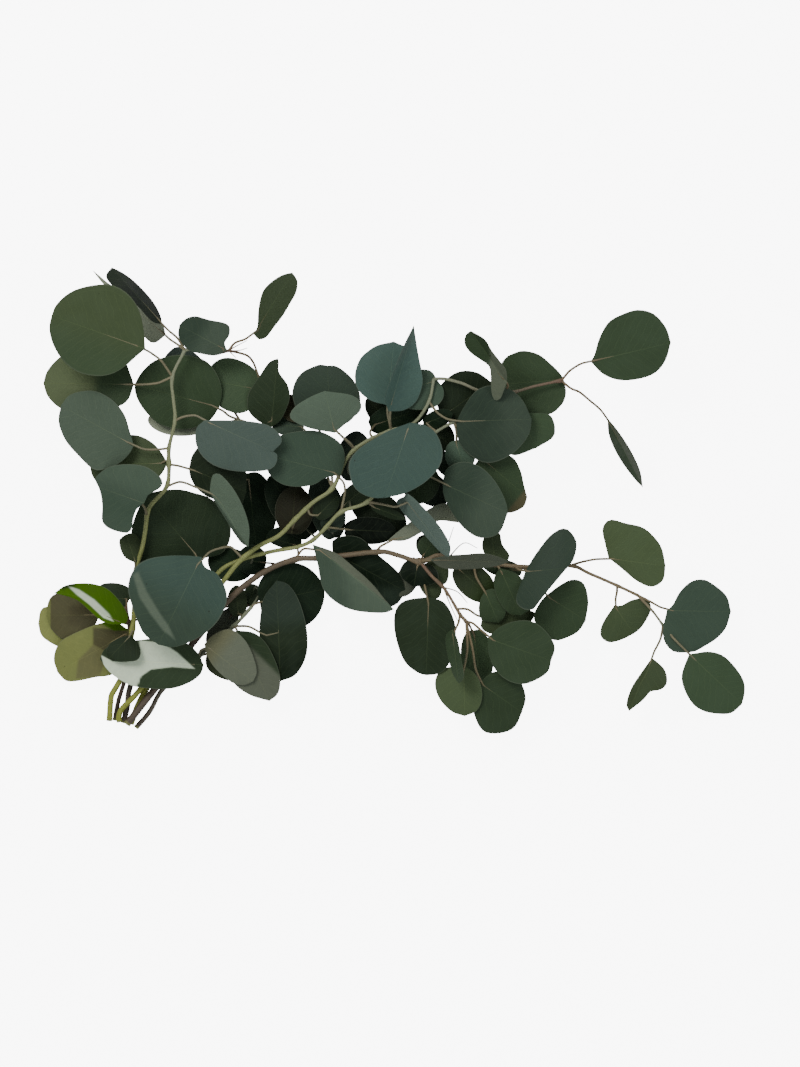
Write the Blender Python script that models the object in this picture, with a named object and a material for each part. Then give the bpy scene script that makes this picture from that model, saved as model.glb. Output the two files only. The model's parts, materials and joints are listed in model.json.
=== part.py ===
"""A bunch of cut silver-dollar eucalyptus branches lying on a flat surface.

Millimetres are used in the tables and metres in the meshes. X runs to the right along the bunch, Y away
from the reader and Z up. Every leafy stem is one closed body, with its leaves and leaf stalks fused in.
"""

import math
from dataclasses import dataclass

import bmesh
import bpy
import numpy as np

MM = 0.001
BLADE_THICKNESS = 0.8
STALK_RADIUS = 0.9
STEM_SIDES = 6
STALK_SIDES = 3
CLEARANCE = 0.8
BEAD_STEP = 6.0
CELL = 2.5
BLADE_ROWS = (0.10, 0.30, 0.54, 0.77, 0.93)
SHIFT = (3.22, -1.09, 0.0)


@dataclass
class Stem:
    """One woody run: route points are (x, y, height, layer), thick is the radius at both ends."""

    name: str
    node: str
    route: tuple
    thick: tuple
    parent: str = ""


@dataclass
class Leaf:
    """One blade: base and tip in plan, half widths to the left and right, and how far the tip and the
    two sides rise above the base. A higher layer lies nearer to the reader."""

    name: str
    stem: str
    stalk: tuple
    base: tuple
    tip: tuple
    left: float
    right: float
    rise: tuple
    layer: float
    point: float = 0.15
    lean: float = 0.0
    notch: float = 0.04
    retuse: float = 0.0
    arch: float = 2.0
    crease: float = 0.3
    wide: float = 0.5
    wave: float = 1.0
    grounded: bool = False
    joint: tuple = ((0.09, 0.0), (0.17, 0.0))


NODE_LOOKS = {
    "left_stem": ((0.085, 0.135, 0.085), 0.55),
    "inner_stem": ((0.045, 0.085, 0.045), 0.55),
    "upper_stem": ((0.085, 0.130, 0.110), 0.55),
    "middle_stem": ((0.095, 0.140, 0.105), 0.55),
    "right_stem": ((0.065, 0.105, 0.065), 0.55),
    "lower_stem": ((0.100, 0.115, 0.085), 0.55),
    "short_stem": ((0.120, 0.150, 0.060), 0.55),
}

STEMS = (
    Stem("A", "left_stem", (
        (-230, -176, 7, 55), (-228, -155, 10, 55), (-221, -143, 12, 55), (-212, -108, 16, 55),
        (-209, -80, 19, 55), (-208, -55, 23, 55), (-203, -38, 27, 55), (-200, -22, 30, 55),
        (-197, -5, 33, 55), (-183, 12, 37, 55), (-181, 30, 39, 55), (-181, 43, 41, 55),
        (-176, 65, 44, 55), (-177, 80, 46, 55), (-178, 100, 48, 55), (-168, 121, 50, 55)), (2.4, 1.2)),
    Stem("A2", "left_stem", (
        (-168, 121, 50, 55), (-159, 122, 50, 56), (-145, 118, 49, 58), (-133, 121, 48, 60)),
        (1.2, 0.9), "A"),
    Stem("F", "inner_stem", (
        (-219, -178, 5, 18), (-216, -165, 6, 18), (-213, -147, 7, 18), (-198, -115, 9, 18),
        (-178, -82, 12, 18), (-160, -50, 15, 18), (-149, -20, 17, 18), (-141, 15, 19, 22),
        (-133, 45, 21, 30), (-125, 66, 24, 36)), (2.4, 1.1)),
    Stem("B", "upper_stem", (
        (-213, -179, 11, 51), (-203, -155, 12, 51), (-175, -112, 16, 51), (-150, -80, 22, 51),
        (-127, -50, 29, 54), (-110, -36, 33, 54), (-93, -27, 36, 54), (-80, -14, 39, 54),
        (-65, 0, 42, 54), (-50, 11, 44, 54), (-40, 32, 46, 54), (-32, 42, 47, 54), (-18, 51, 49, 54),
        (-3, 57, 50, 54), (15, 63, 52, 57), (27, 80, 54, 61), (31, 98, 55, 62)), (2.4, 1.2)),
    Stem("B2", "upper_stem", (
        (31, 98, 55, 62), (40, 98, 55, 62), (55, 94, 54, 62), (66, 89, 53, 62), (80, 87, 52, 62),
        (96, 88, 52, 62), (110, 92, 52, 62), (133, 97, 52, 62)), (1.3, 1.1), "B"),
    Stem("C", "middle_stem", (
        (-222, -177, 9, 60), (-221, -168, 11, 60), (-203, -148, 16, 60), (-175, -105, 20, 55),
        (-145, -60, 25, 50), (-125, -47, 28, 48), (-100, -40, 32, 50), (-78, -36, 36, 55),
        (-65, -30, 39, 58), (-55, -20, 41, 58), (-43, -8, 44, 58), (-22, 0, 47, 57), (-8, 18, 49, 52),
        (8, 38, 50, 50), (33, 56, 51, 48), (47, 64, 52, 48)), (2.3, 1.1)),
    Stem("D", "right_stem", (
        (-216, -179, 5, 52), (-193, -150, 7, 52), (-163, -114, 11, 52), (-133, -78, 16, 52),
        (-105, -56, 23, 52), (-80, -46, 29, 52), (-60, -45, 33, 52), (-15, -40, 38, 52),
        (0, -42, 39, 52), (20, -48, 40, 52), (33, -43, 41, 53), (45, -45, 41, 53), (63, -51, 41, 53),
        (80, -50, 41, 53), (103, -52, 40, 55), (140, -51, 39, 60), (155, -57, 38, 60),
        (178, -67, 35, 60), (195, -75, 32, 60)), (2.9, 1.2)),
    Stem("D2", "right_stem", (
        (195, -75, 32, 60), (207, -88, 31, 60), (215, -99, 30, 60)), (1.2, 0.9), "D"),
    Stem("D3", "right_stem", (
        (20, -48, 40, 55), (30, -60, 39, 60), (40, -70, 38, 60), (52, -90, 36, 58), (57, -96, 35, 58)),
        (1.5, 1.0), "D"),
    Stem("G", "lower_stem", (
        (-209, -182, 4, 45), (-198, -169, 5, 45), (-186, -149, 7, 45), (-158, -124, 12, 45),
        (-130, -100, 20, 45), (-115, -84, 24, 45)), (2.1, 1.3)),
    Stem("H", "short_stem", (
        (-226, -176, 3, 40), (-223, -160, 5, 40), (-217, -140, 8, 40), (-215, -120, 12, 40),
        (-214, -98, 16, 40), (-217, -84, 18, 40)), (2.0, 1.0)),
)

LEAVES = (
    Leaf("L1", "A", ((-178, 100), (-187, 113), (-195, 119)), (-199, 122), (-273, 148), 36, 36,
         (10, -4, 6), 90),
    Leaf("L2", "A", ((-178, 98), (-190, 95), (-200, 94)), (-209, 94), (-282, 95), 27, 27,
         (-8, 3, -3), 60),
    Leaf("L3", "A", ((-181, 43), (-190, 42), (-200, 42)), (-209, 45), (-267, 77), 29, 29, (6, 4, -4), 75),
    Leaf("L4", "A", ((-168, 121), (-174, 131), (-181, 137)), (-186, 142), (-226, 187), 8, 8,
         (6, 20, -20), 70, point=0.4),
    Leaf("L5", "A", ((-168, 121), (-174, 126), (-180, 130)), (-184, 134), (-244, 187), 13, 12,
         (-30, -16, 16), 58, point=0.7, grounded=True),
    Leaf("L6", "A2", ((-145, 118), (-141, 119), (-137, 121)), (-134, 121), (-172, 141), 14, 14,
         (6, -6, 6), 66),
    Leaf("L9", "A2", ((-133, 121), (-128, 127), (-120, 130)), (-113, 134), (-82, 183), 11, 11,
         (8, 20, -18), 64, point=0.3),
    Leaf("L10", "A2", ((-133, 121), (-118, 117), (-112, 108), (-109, 98)), (-108, 90), (-150, 98),
         21, 22, (-3, 3, -3), 38),
    Leaf("L12", "A", ((-176, 65), (-169, 68), (-160, 69)), (-152, 65), (-97, 40), 14, 25,
         (8, 4, -6), 92, retuse=0.08),
    Leaf("L16", "A", ((-182, 14), (-172, 16), (-160, 12)), (-148, 8), (-117, -36), 9, 8,
         (4, 22, -18), 94),
    Leaf("L17", "A", ((-181, 30), (-174, 29)), (-165, 27), (-119, 8), 17, 18, (-6, 2, -4), 62),
    Leaf("L22", "A", ((-198, -10), (-200, -5)), (-200, -1), (-237, 12), 27, 29, (-14, -6, 8), 88),
    Leaf("L24", "A", ((-181, 33), (-183, 33)), (-182, 31), (-245, 30), 11, 24, (-8, 2, -3), 45),
    Leaf("L25", "A", ((-208, -58), (-208, -54)), (-208, -49), (-216, -26), 12, 12, (-4, 3, -3), 42),
    Leaf("L7", "F", ((-125, 66), (-135, 82), (-143, 95)), (-149, 101), (-188, 113), 13, 13,
         (-6, 2, 2), 30),
    Leaf("L8", "F", ((-125, 66), (-133, 69), (-138, 73)), (-141, 76), (-209, 94), 27, 29, (4, -3, 4), 48),
    Leaf("L8b", "F", ((-125, 66), (-138, 64)), (-147, 64), (-199, 66), 12, 14, (-8, 2, -2), 34),
    Leaf("L11", "F", ((-125, 66), (-110, 62)), (-99, 60), (-94, 115), 20, 13, (2, -8, 10), 44,
         point=0.6),
    Leaf("L18", "F", ((-143, 10), (-130, 18)), (-119, 26), (-112, -36), 20, 21, (0, 0, 0), 8,
         arch=0.0, wave=0.0, crease=0.0, grounded=True),
    Leaf("L20", "F", ((-160, -50), (-158, -48)), (-157, -46), (-201, 6), 33, 42, (8, 4, -4), 40),
    Leaf("L21", "B", ((-122, -45), (-132, -36), (-140, -37), (-148, -40)), (-155, -44), (-189, -114),
         37, 37, (6, -8, 8), 96),
    Leaf("L13", "B", ((-32, 42), (-42, 52), (-48, 58)), (-52, 61), (-54, 109), 26, 26, (-4, -3, 3), 55),
    Leaf("L14", "B", ((-32, 42), (-36, 47), (-42, 52)), (-48, 55), (-56, 88), 31, 26, (14, 6, -2), 84),
    Leaf("L19", "B", ((-80, -14), (-82, -20)), (-83, -27), (-80, 13), 15, 16, (-4, -2, 2), 22),
    Leaf("L51a", "B", ((-3, 57), (-5, 66), (-6, 72)), (-6, 77), (-1, 128), 26, 26, (-6, 3, -3), 58),
    Leaf("L51b", "B", ((-3, 57), (-4, 65)), (-5, 72), (15, 140), 14, 13, (12, 18, -12), 86, point=0.4),
    Leaf("L52", "B", ((31, 98), (31, 96)), (34, 97), (-3, 86), 17, 13, (-4, 2, -2), 56),
    Leaf("L54", "B", ((27, 80), (33, 72), (42, 66)), (49, 64), (109, 66), 30, 33, (6, 4, -4), 80),
    Leaf("L73", "B", ((-18, 51), (-20, 56)), (-22, 60), (27, 76), 12, 12, (-4, 2, -2), 32),
    Leaf("H1", "B", ((-50, 11), (-58, 30), (-66, 50)), (-72, 60), (-99, 62), 8, 8, (-3, 2, -2), 28),
    Leaf("H2", "B", ((-50, 11), (-52, 35), (-62, 60)), (-68, 70), (-93, 80), 11, 11, (-3, 2, -2), 30),
    Leaf("L71", "B", ((-72, -6), (-68, -10)), (-64, -13), (-46, 5), 9, 8, (-3, 2, -2), 36),
    Leaf("L57", "B2", ((88, 87), (90, 92)), (89, 95), (60, 135), 14, 9, (20, -14, 14), 89),
    Leaf("L55", "B2", ((131, 97), (129, 97)), (135, 98), (82, 94), 28, 25, (-8, 3, 3), 46),
    Leaf("L56", "B2", ((96, 88), (97, 80)), (99, 72), (113, 43), 18, 17, (-6, 2, -2), 52),
    Leaf("L58", "B2", ((133, 97), (140, 105), (148, 110)), (156, 112), (220, 127), 29, 27,
         (6, 4, -4), 72),
    Leaf("L59", "B2", ((133, 97), (140, 91), (147, 88), (157, 80), (165, 73)), (170, 67), (200, 12),
         5, 5, (-46, 14, -14), 76, point=0.4, grounded=True),
    Leaf("L15", "C", ((-43, -8), (-42, -2), (-40, 8), (-41, 15)), (-43, 22), (-105, 38), 19, 26,
         (4, -4, 6), 74),
    Leaf("L53", "C", ((-22, 0), (-10, -2), (0, -4)), (7, 4), (43, -44), 8, 9, (4, 18, -18), 82),
    Leaf("L69a", "C", ((-22, 0), (-21, -1)), (-20, -3), (9, -14), 4, 4, (2, 2, -2), 59, point=0.8),
    Leaf("L50", "C", ((12, 41), (16, 52), (15, 60)), (12, 63), (-8, 3), 38, 37, (4, 4, -4), 95),
    Leaf("L65", "C", ((8, 38), (20, 24), (28, 20)), (38, 15), (90, -9), 31, 31, (4, 5, -5), 68),
    Leaf("L66", "C", ((47, 64), (49, 56)), (48, 50), (56, 24), 12, 12, (-4, 2, -2), 44),
    Leaf("L67", "C", ((47, 64), (56, 52), (62, 42)), (68, 36), (106, 4), 20, 19, (-10, 2, -2), 42),
    Leaf("L74", "C", ((47, 64), (42, 66)), (37, 68), (77, 96), 22, 22, (-4, 3, -3), 38),
    Leaf("L75", "C", ((33, 56), (28, 60)), (22, 62), (46, 71), 7, 7, (2, 2, -2), 40),
    Leaf("L76", "C", ((8, 38), (18, 34)), (30, 28), (12, 0), 14, 13, (-4, 2, -2), 36),
    Leaf("L72", "C", ((-43, -8), (-44, -7)), (-44, -5), (-20, 15), 9, 9, (2, 2, -2), 34),
    Leaf("L69b", "C", ((-55, -20), (-48, -21)), (-42, -22), (1, -24), 11, 11, (-3, 2, -2), 27),
    Leaf("L70", "C", ((-65, -30), (-60, -26)), (-57, -23), (-42, -5), 9, 9, (-3, 2, -2), 35),
    Leaf("L38", "D", ((-80, -46), (-74, -38)), (-66, -34), (-1, -86), 10, 27, (4, -6, -10), 78,
         point=0.5, crease=0.9),
    Leaf("L39", "D", ((-60, -45), (-55, -42)), (-50, -40), (9, -72), 19, 16, (-4, 4, -4), 34,
         point=0.5),
    Leaf("L40", "D", ((16, -47), (19, -55), (23, -64)), (27, -76), (25, -139), 28, 27, (-6, 3, -3), 57),
    Leaf("L78", "D", ((20, -48), (19, -49)), (18, -51), (15, -68), 13, 12, (-3, 2, -2), 56.5),
    Leaf("L79", "D3", ((36, -66), (37, -67)), (38, -67), (22, -51), 12, 12, (-3, 2, -2), 51),
    Leaf("L77", "D", ((20, -48), (21, -46)), (22, -44), (32, -28), 9, 9, (-3, 2, -2), 29),
    Leaf("L68", "D", ((-15, -40), (-12, -36)), (-6, -31), (54, -17), 9, 9, (-6, 2, -2), 31),
    Leaf("L80", "D", ((20, -48), (24, -47)), (28, -46), (91, -48), 6, 7, (6, 14, -10), 81),
    Leaf("L81", "D", ((80, -50), (80, -51)), (80, -51), (78, -26), 15, 15, (-4, 2, -2), 43),
    Leaf("L45", "D", ((97, -52), (99, -54)), (104, -56), (137, -53), 37, 37, (10, -10, 12), 79,
         lean=-32),
    Leaf("L47", "D", ((80, -50), (82, -51)), (84, -53), (101, -91), 14, 14, (-6, 3, -3), 51),
    Leaf("L48", "D", ((63, -51), (65, -60)), (72, -71), (83, -97), 12, 11, (-4, 2, -2), 47),
    Leaf("L49", "D", ((45, -45), (47, -48)), (48, -51), (79, -78), 13, 13, (-4, 2, -2), 35),
    Leaf("L46", "D", ((103, -52), (112, -64)), (121, -75), (153, -95), 24, 23, (-8, 3, -3), 54),
    Leaf("L60", "D", ((143, -51), (150, -48), (160, -46)), (171, -45), (216, -51), 32, 32,
         (14, 8, -8), 65, lean=22),
    Leaf("L61", "D", ((178, -67), (178, -72), (177, -78)), (176, -83), (192, -106), 23, 23,
         (-12, 4, -4), 59),
    Leaf("L62", "D", ((195, -75), (205, -80), (212, -84)), (218, -87), (270, -88), 29, 30,
         (-10, 3, -3), 63),
    Leaf("L63", "D2", ((215, -99), (224, -110), (231, -117)), (236, -122), (280, -163), 25, 26,
         (-30, 2, -2), 66, grounded=True),
    Leaf("L64", "D2", ((215, -99), (213, -110), (208, -120)), (206, -125), (188, -168), 13, 7,
         (-6, 10, -4), 61, point=0.5),
    Leaf("L49b", "D3", ((48, -84), (58, -86), (66, -91)), (70, -93), (113, -89), 8, 8, (-4, 2, -2), 33),
    Leaf("L44", "D3", ((57, -96), (62, -97), (68, -102)), (74, -109), (125, -127), 22, 28,
         (2, 5, -4), 73),
    Leaf("L43", "D3", ((57, -96), (62, -117), (65, -135)), (68, -145), (102, -169), 24, 27,
         (-8, 3, -3), 48),
    Leaf("L41", "D3", ((52, -90), (51, -96)), (46, -102), (51, -145), 6, 6, (2, 10, -12), 62.5),
    Leaf("L42", "D3", ((57, -96), (58, -118)), (55, -131), (56, -172), 19, 18, (-4, 2, -2), 50),
    Leaf("L42b", "D3", ((52, -90), (58, -96)), (63, -101), (69, -149), 13, 13, (-28, 2, -2), 32,
         grounded=True),
    Leaf("L31", "G", ((-186, -149), (-172, -144), (-160, -138)), (-154, -131), (-237, -126), 20, 20,
         (4, 3, 3), 63),
    Leaf("L32", "G", ((-158, -124), (-156, -119)), (-153, -114), (-114, -144), 14, 14, (-2, 4, -4), 77),
    Leaf("L33", "G", ((-130, -100), (-128, -101)), (-127, -103), (-101, -160), 19, 19, (-6, 3, -3), 67),
    Leaf("L34", "G", ((-158, -124), (-150, -122)), (-143, -119), (-135, -144), 10, 10, (-3, 2, -2), 20),
    Leaf("L35", "G", ((-120, -89), (-122, -91)), (-126, -93), (-128, -67), 8, 8, (-3, 2, -2), 24),
    Leaf("L36", "G", ((-130, -100), (-118, -100), (-108, -105)), (-92, -144), (-95, -63), 19, 19,
         (4, -4, 4), 65, notch=0.0, joint=((0.47, 0.62), (0.5, 0.3))),
    Leaf("L37", "G", ((-115, -84), (-113, -82)), (-111, -81), (-57, -70), 27, 27, (-4, 3, -3), 39),
    Leaf("L26", "H", ((-214, -98), (-215, -98)), (-217, -98), (-273, -73), 4, 15, (10, 3, 12), 69,
         point=0.6, crease=0.8),
    Leaf("L27", "H", ((-216, -88), (-216, -84)), (-214, -78), (-240, -77), 14, 13, (-3, 2, -2), 36),
    Leaf("L28a", "H", ((-214, -98), (-224, -95), (-232, -92)), (-238, -91), (-281, -91), 18, 18,
         (-4, 2, -2), 45),
    Leaf("L28b", "H", ((-214, -104), (-230, -102), (-246, -99)), (-254, -98), (-288, -98), 16, 16,
         (-3, 2, -2), 35, grounded=True),
    Leaf("L29", "H", ((-214, -108), (-213, -106)), (-213, -104), (-272, -137), 22, 19, (-6, 2, -2),
         46.5),
    Leaf("L30", "A", ((-211, -102), (-211, -104)), (-212, -107), (-229, -125), 14, 11, (2, 2, -2),
         64),
)

# Plan points of the margins, in mm: the left one from base to tip, then the right one back to the base.
EDGES = {
    "L1": (((-207, 115), (-215, 108), (-225, 102), (-237, 100), (-252, 103), (-264, 112), (-272, 125),
             (-275, 138)),
            ((-269, 157), (-257, 167), (-240, 172), (-224, 172), (-211, 164), (-203, 151), (-200, 136))),
    "L2": (((-214, 81), (-225, 75), (-245, 72), (-266, 74), (-278, 84)),
            ((-279, 105), (-269, 116), (-252, 126), (-232, 126), (-218, 116), (-212, 103))),
    "L3": (((-213, 38), (-222, 30), (-237, 25), (-244, 28), (-253, 37), (-262, 47), (-267, 57),
             (-269, 66)),
            ((-259, 86), (-242, 89), (-228, 83), (-217, 71), (-212, 56))),
    "L4": (((-194, 144), (-205, 156), (-217, 166), (-226, 173), (-230, 180)),
            ((-219, 184), (-208, 176), (-195, 162), (-188, 150))),
    "L5": (((-193, 128), (-200, 131), (-210, 144), (-220, 157), (-232, 172), (-238, 179)),
            ((-239, 183), (-229, 175), (-217, 169), (-206, 160), (-196, 150), (-186, 142))),
    "L6": (((-143, 117), (-154, 118), (-166, 122), (-173, 132)),
            ((-167, 146), (-159, 148), (-148, 145), (-137, 143), (-132, 140), (-132, 133), (-136, 127))),
    "L7": (((-160, 93), (-178, 96), (-187, 104)), ((-182, 121), (-175, 125), (-164, 122), (-154, 113))),
    "L9": (((-110, 140), (-109, 152), (-107, 162), (-104, 169), (-97, 176), (-89, 181)),
            ((-78, 177), (-79, 168), (-84, 159), (-90, 149), (-97, 140), (-103, 132), (-109, 130))),
    "L10": (((-113, 77), (-125, 71), (-140, 76), (-147, 86)),
            ((-149, 108), (-141, 115), (-132, 116), (-125, 114), (-117, 110), (-109, 102))),
    "L11": (((-110, 65), (-118, 74), (-118, 86), (-114, 93), (-108, 102), (-101, 112)),
            ((-93, 112), (-93, 104), (-86, 94), (-84, 84), (-87, 74), (-92, 65))),
    "L12": (((-134, 65), (-115, 64), (-101, 61), (-93, 55), (-90, 48), (-95, 42)),
            ((-94, 38), (-94, 32), (-99, 26), (-113, 24), (-132, 25), (-148, 31), (-158, 43),
             (-159, 58))),
    "L13": (((-74, 67), (-82, 84), (-80, 96), (-74, 104), (-66, 108), (-60, 110)),
            ((-48, 109), (-41, 105), (-33, 97), (-28, 86), (-29, 74), (-38, 63))),
    "L14": (((-66, 58), (-79, 63), (-84, 68), (-79, 76), (-66, 84)),
            ((-35, 85), (-27, 79), (-28, 72), (-35, 66))),
    "L15": (((-56, 19), (-64, 14), (-76, 12), (-90, 14), (-101, 23)),
            ((-102, 46), (-95, 51), (-85, 55), (-66, 57), (-54, 54), (-43, 46), (-40, 35))),
    "L16": (((-147, 16), (-145, 22), (-141, 23), (-134, 17), (-127, 8), (-120, -6), (-116, -21)),
            ((-124, -32), (-133, -18), (-143, -2))),
    "L20": (((-180, -55), (-200, -52), (-209, -44), (-212, -30), (-210, -15)),
            ((-190, 9), (-181, 10), (-171, 10), (-160, 7), (-150, 4), (-140, -5), (-132, -22),
             (-138, -40))),
    "L21": (((-152, -52), (-142, -58), (-135, -72), (-136, -84), (-144, -98), (-158, -109), (-176, -116)),
            ((-200, -106), (-206, -94), (-211, -79), (-213, -69), (-211, -59), (-205, -50), (-195, -45),
             (-180, -43), (-166, -43))),
    "L22": (((-206, -6), (-209, -14), (-210, -21), (-214, -25), (-227, -22), (-234, -16), (-234, -4),
             (-235, 5)),
            ((-240, 18), (-236, 23), (-228, 28), (-216, 30), (-202, 29), (-193, 25), (-185, 17),
             (-187, 11), (-196, 6))),
    "L26": (((-228, -98), (-236, -95), (-245, -87), (-256, -78)),
            ((-264, -67), (-251, -65), (-239, -66), (-228, -71), (-218, -83), (-214, -93))),
    "L28b": (((-257, -112), (-265, -117), (-273, -116), (-285, -108)),
            ((-286, -87), (-280, -84), (-268, -83), (-258, -88))),
    "L29": (((-210, -118), (-215, -130), (-228, -139), (-241, -141), (-255, -144), (-265, -144)),
            ((-275, -126), (-271, -114), (-261, -107), (-239, -98), (-224, -97))),
    "L31": (((-156, -138), (-165, -145), (-181, -150), (-204, -149), (-217, -145), (-230, -136)),
            ((-233, -118), (-221, -112), (-209, -111), (-199, -110), (-185, -107), (-168, -113),
             (-158, -122))),
    "L32": (((-145, -106), (-132, -102), (-120, -111), (-113, -126), (-111, -137)),
            ((-121, -147), (-131, -145), (-144, -134), (-151, -123))),
    "L33": (((-113, -105), (-103, -114), (-95, -130), (-92, -143), (-94, -154)),
            ((-117, -155), (-130, -145), (-138, -127), (-135, -110))),
    "L36": (((-103, -137), (-107, -124), (-109, -106), (-108, -90), (-105, -76)),
            ((-86, -66), (-78, -77), (-72, -95), (-70, -112), (-72, -126), (-80, -139))),
    "L38": (((-49, -40), (-39, -47), (-31, -54), (-24, -60), (-16, -68), (-9, -77)),
            ((-10, -89), (-33, -87), (-48, -80), (-58, -69), (-62, -50))),
    "L39": (((-50, -31), (-40, -27), (-27, -29), (-15, -41), (3, -57)),
            ((0, -83), (-15, -84), (-35, -70), (-48, -54))),
    "L40": (((40, -81), (48, -97), (48, -115), (42, -132), (34, -138)),
            ((18, -137), (7, -127), (0, -106), (0, -88), (8, -79))),
    "L41": (((50, -110), (53, -126), (55, -140)), ((46, -137), (41, -118), (41, -106))),
    "L42": (((66, -140), (70, -155), (66, -167)), ((45, -168), (35, -157), (32, -144), (38, -134))),
    "L43": (((80, -136), (98, -141), (105, -156)),
            ((97, -180), (89, -185), (76, -186), (68, -181), (62, -165), (63, -152))),
    "L44": (((84, -100), (98, -95), (111, -96), (122, -105), (128, -116)),
            ((123, -135), (116, -141), (103, -146), (90, -143), (80, -134), (75, -121))),
    "L45": (((109, -47), (115, -38), (125, -26), (136, -21), (144, -29), (145, -37), (142, -47)),
            ((132, -59), (121, -72), (114, -81), (110, -86), (103, -86), (97, -81), (98, -72))),
    "L46": (((126, -71), (133, -66), (142, -62), (151, -65), (155, -79)),
            ((148, -103), (140, -108), (128, -111), (116, -103), (111, -92), (114, -84), (117, -79))),
    "L47": (((98, -58), (108, -72), (110, -84)), ((91, -89), (82, -77), (79, -62))),
    "L50": (((24, 61), (33, 54), (38, 41), (36, 29), (27, 18), (17, 11), (6, 6)),
            ((-17, 3), (-26, 6), (-33, 12), (-36, 21), (-37, 30), (-33, 38), (-25, 45), (-15, 51),
             (-4, 57))),
    "L51a": (((-20, 81), (-30, 90), (-32, 102), (-28, 114), (-22, 120), (-14, 125)),
            ((13, 121), (21, 107), (19, 91), (8, 79))),
    "L51b": (((-8, 82), (-4, 95), (1, 109), (8, 126)),
            ((18, 121), (21, 105), (22, 94), (17, 80), (7, 73))),
    "L52": (((39, 89), (37, 80), (27, 74), (8, 75)), ((2, 98), (14, 105), (28, 105))),
    "L53": (((9, 7), (19, -1), (35, -19), (44, -35)), ((37, -41), (21, -24), (10, -13), (1, 0))),
    "L54": (((54, 74), (64, 88), (76, 93), (89, 91), (101, 82)),
            ((107, 54), (97, 41), (84, 33), (72, 31), (60, 37), (51, 48))),
    "L55": (((137, 88), (135, 80), (131, 75), (124, 70), (107, 68), (92, 76)),
            ((82, 104), (88, 115), (95, 119), (103, 121), (115, 118), (125, 110), (132, 103))),
    "L56": (((110, 71), (123, 70), (127, 64), (128, 58), (126, 51)),
            ((95, 37), (88, 45), (86, 58), (90, 68))),
    "L57": (((84, 82), (80, 80), (77, 86), (76, 98), (75, 107), (67, 113), (60, 118), (55, 125),
             (56, 132)),
            ((71, 128), (76, 120), (83, 111), (88, 104))),
    "L58": (((159, 117), (162, 128), (166, 137), (171, 144), (180, 149), (193, 153), (206, 150),
             (216, 139)),
            ((216, 113), (208, 103), (195, 98), (179, 97), (166, 102))),
    "L59": (((179, 56), (189, 41), (197, 25)), ((193, 19), (181, 35), (172, 53))),
    "L60": (((168, -33), (166, -21), (172, -14), (184, -17), (197, -20), (206, -27), (213, -37)),
            ((215, -61), (211, -66), (204, -68), (193, -63), (181, -53))),
    "L61": (((182, -83), (189, -79), (200, -77), (205, -81), (205, -89), (198, -101)),
            ((182, -111), (172, -113), (166, -109), (165, -103), (168, -95))),
    "L62": (((223, -82), (227, -74), (233, -67), (239, -63), (247, -62), (254, -65), (266, -75)),
            ((266, -101), (258, -110), (250, -115), (241, -120), (232, -121), (223, -120), (216, -112),
             (215, -101))),
    "L63": (((243, -121), (252, -120), (263, -123), (273, -132), (281, -144), (282, -154)),
            ((272, -170), (263, -171), (250, -169), (240, -163), (233, -152), (230, -141), (232, -132))),
    "L64": (((210, -128), (216, -134), (218, -141), (217, -147), (212, -151), (205, -152), (199, -159)),
            ((186, -164), (187, -157), (191, -147), (199, -135))),
    "L65": (((41, 26), (53, 32), (68, 28), (80, 16), (88, 1)),
            ((83, -25), (69, -29), (56, -22), (45, -8), (39, 5))),
    "L67": (((80, 38), (94, 36), (101, 24), (103, 15)),
            ((103, -4), (91, -9), (78, -4), (65, 8), (61, 23))),
    "L80": (((40, -43), (55, -42), (70, -41), (83, -44)), ((78, -52), (56, -54), (38, -53))),
    "L8": (((-148, 66), (-160, 60), (-171, 58), (-186, 61), (-194, 66), (-203, 76), (-208, 86)),
            ((-204, 103), (-195, 112), (-185, 116), (-174, 118), (-162, 117), (-150, 112), (-142, 101),
             (-139, 89))),
    "L17": (((-162, 38), (-154, 46), (-140, 48), (-128, 42), (-120, 28)),
            ((-124, -2), (-138, 0), (-150, 4), (-159, 11), (-164, 20))),
    "L24": (((-188, 21), (-197, 14), (-215, 10), (-236, 14), (-243, 21)),
            ((-243, 42), (-230, 50), (-211, 54), (-198, 50), (-189, 42))),
    "L74": (((33, 80), (35, 91), (41, 98), (48, 103), (57, 105), (67, 103)),
            ((80, 84), (74, 70), (60, 62), (46, 62))),
    "L25": (((-216, -45), (-220, -38), (-221, -30)), ((-210, -25), (-204, -32), (-204, -42))),
    "L27": (((-219, -89), (-228, -92), (-238, -86)),
            ((-238, -67), (-226, -65), (-216, -68), (-211, -73), (-213, -79))),
    "L30": (((-206, -114), (-204, -122), (-207, -127), (-215, -128), (-223, -128)),
            ((-232, -121), (-229, -114), (-221, -109))),
    "L34": (((-135, -125), (-130, -138)), ((-143, -141), (-151, -135), (-153, -127), (-150, -120))),
    "L48": (((80, -70), (88, -82), (88, -92)), ((74, -96), (69, -94), (67, -87), (68, -79))),
    "L49b": (((80, -86), (100, -84)), ((108, -97), (92, -102), (78, -106), (69, -101))),
    "L78": (((27, -50), (33, -54), (35, -60), (32, -65), (25, -67)),
            ((9, -64), (5, -60), (4, -54), (8, -48), (14, -46))),
    "L79": (((36, -76), (28, -78), (20, -69), (18, -58)), ((30, -47), (42, -52), (43, -60), (41, -65))),
    "L81": (((75, -46), (70, -38), (71, -29)), ((84, -25), (86, -34), (92, -43), (88, -49))),
    "L82": (((27, -76), (24, -90), (12, -100)), ((-4, -95), (-8, -88), (-4, -78), (8, -68), (18, -63))),
    "L28a": (((-243, -101), (-255, -107), (-268, -110), (-278, -101)),
            ((-280, -81), (-276, -75), (-268, -73), (-260, -75), (-251, -79), (-243, -86))),
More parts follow.
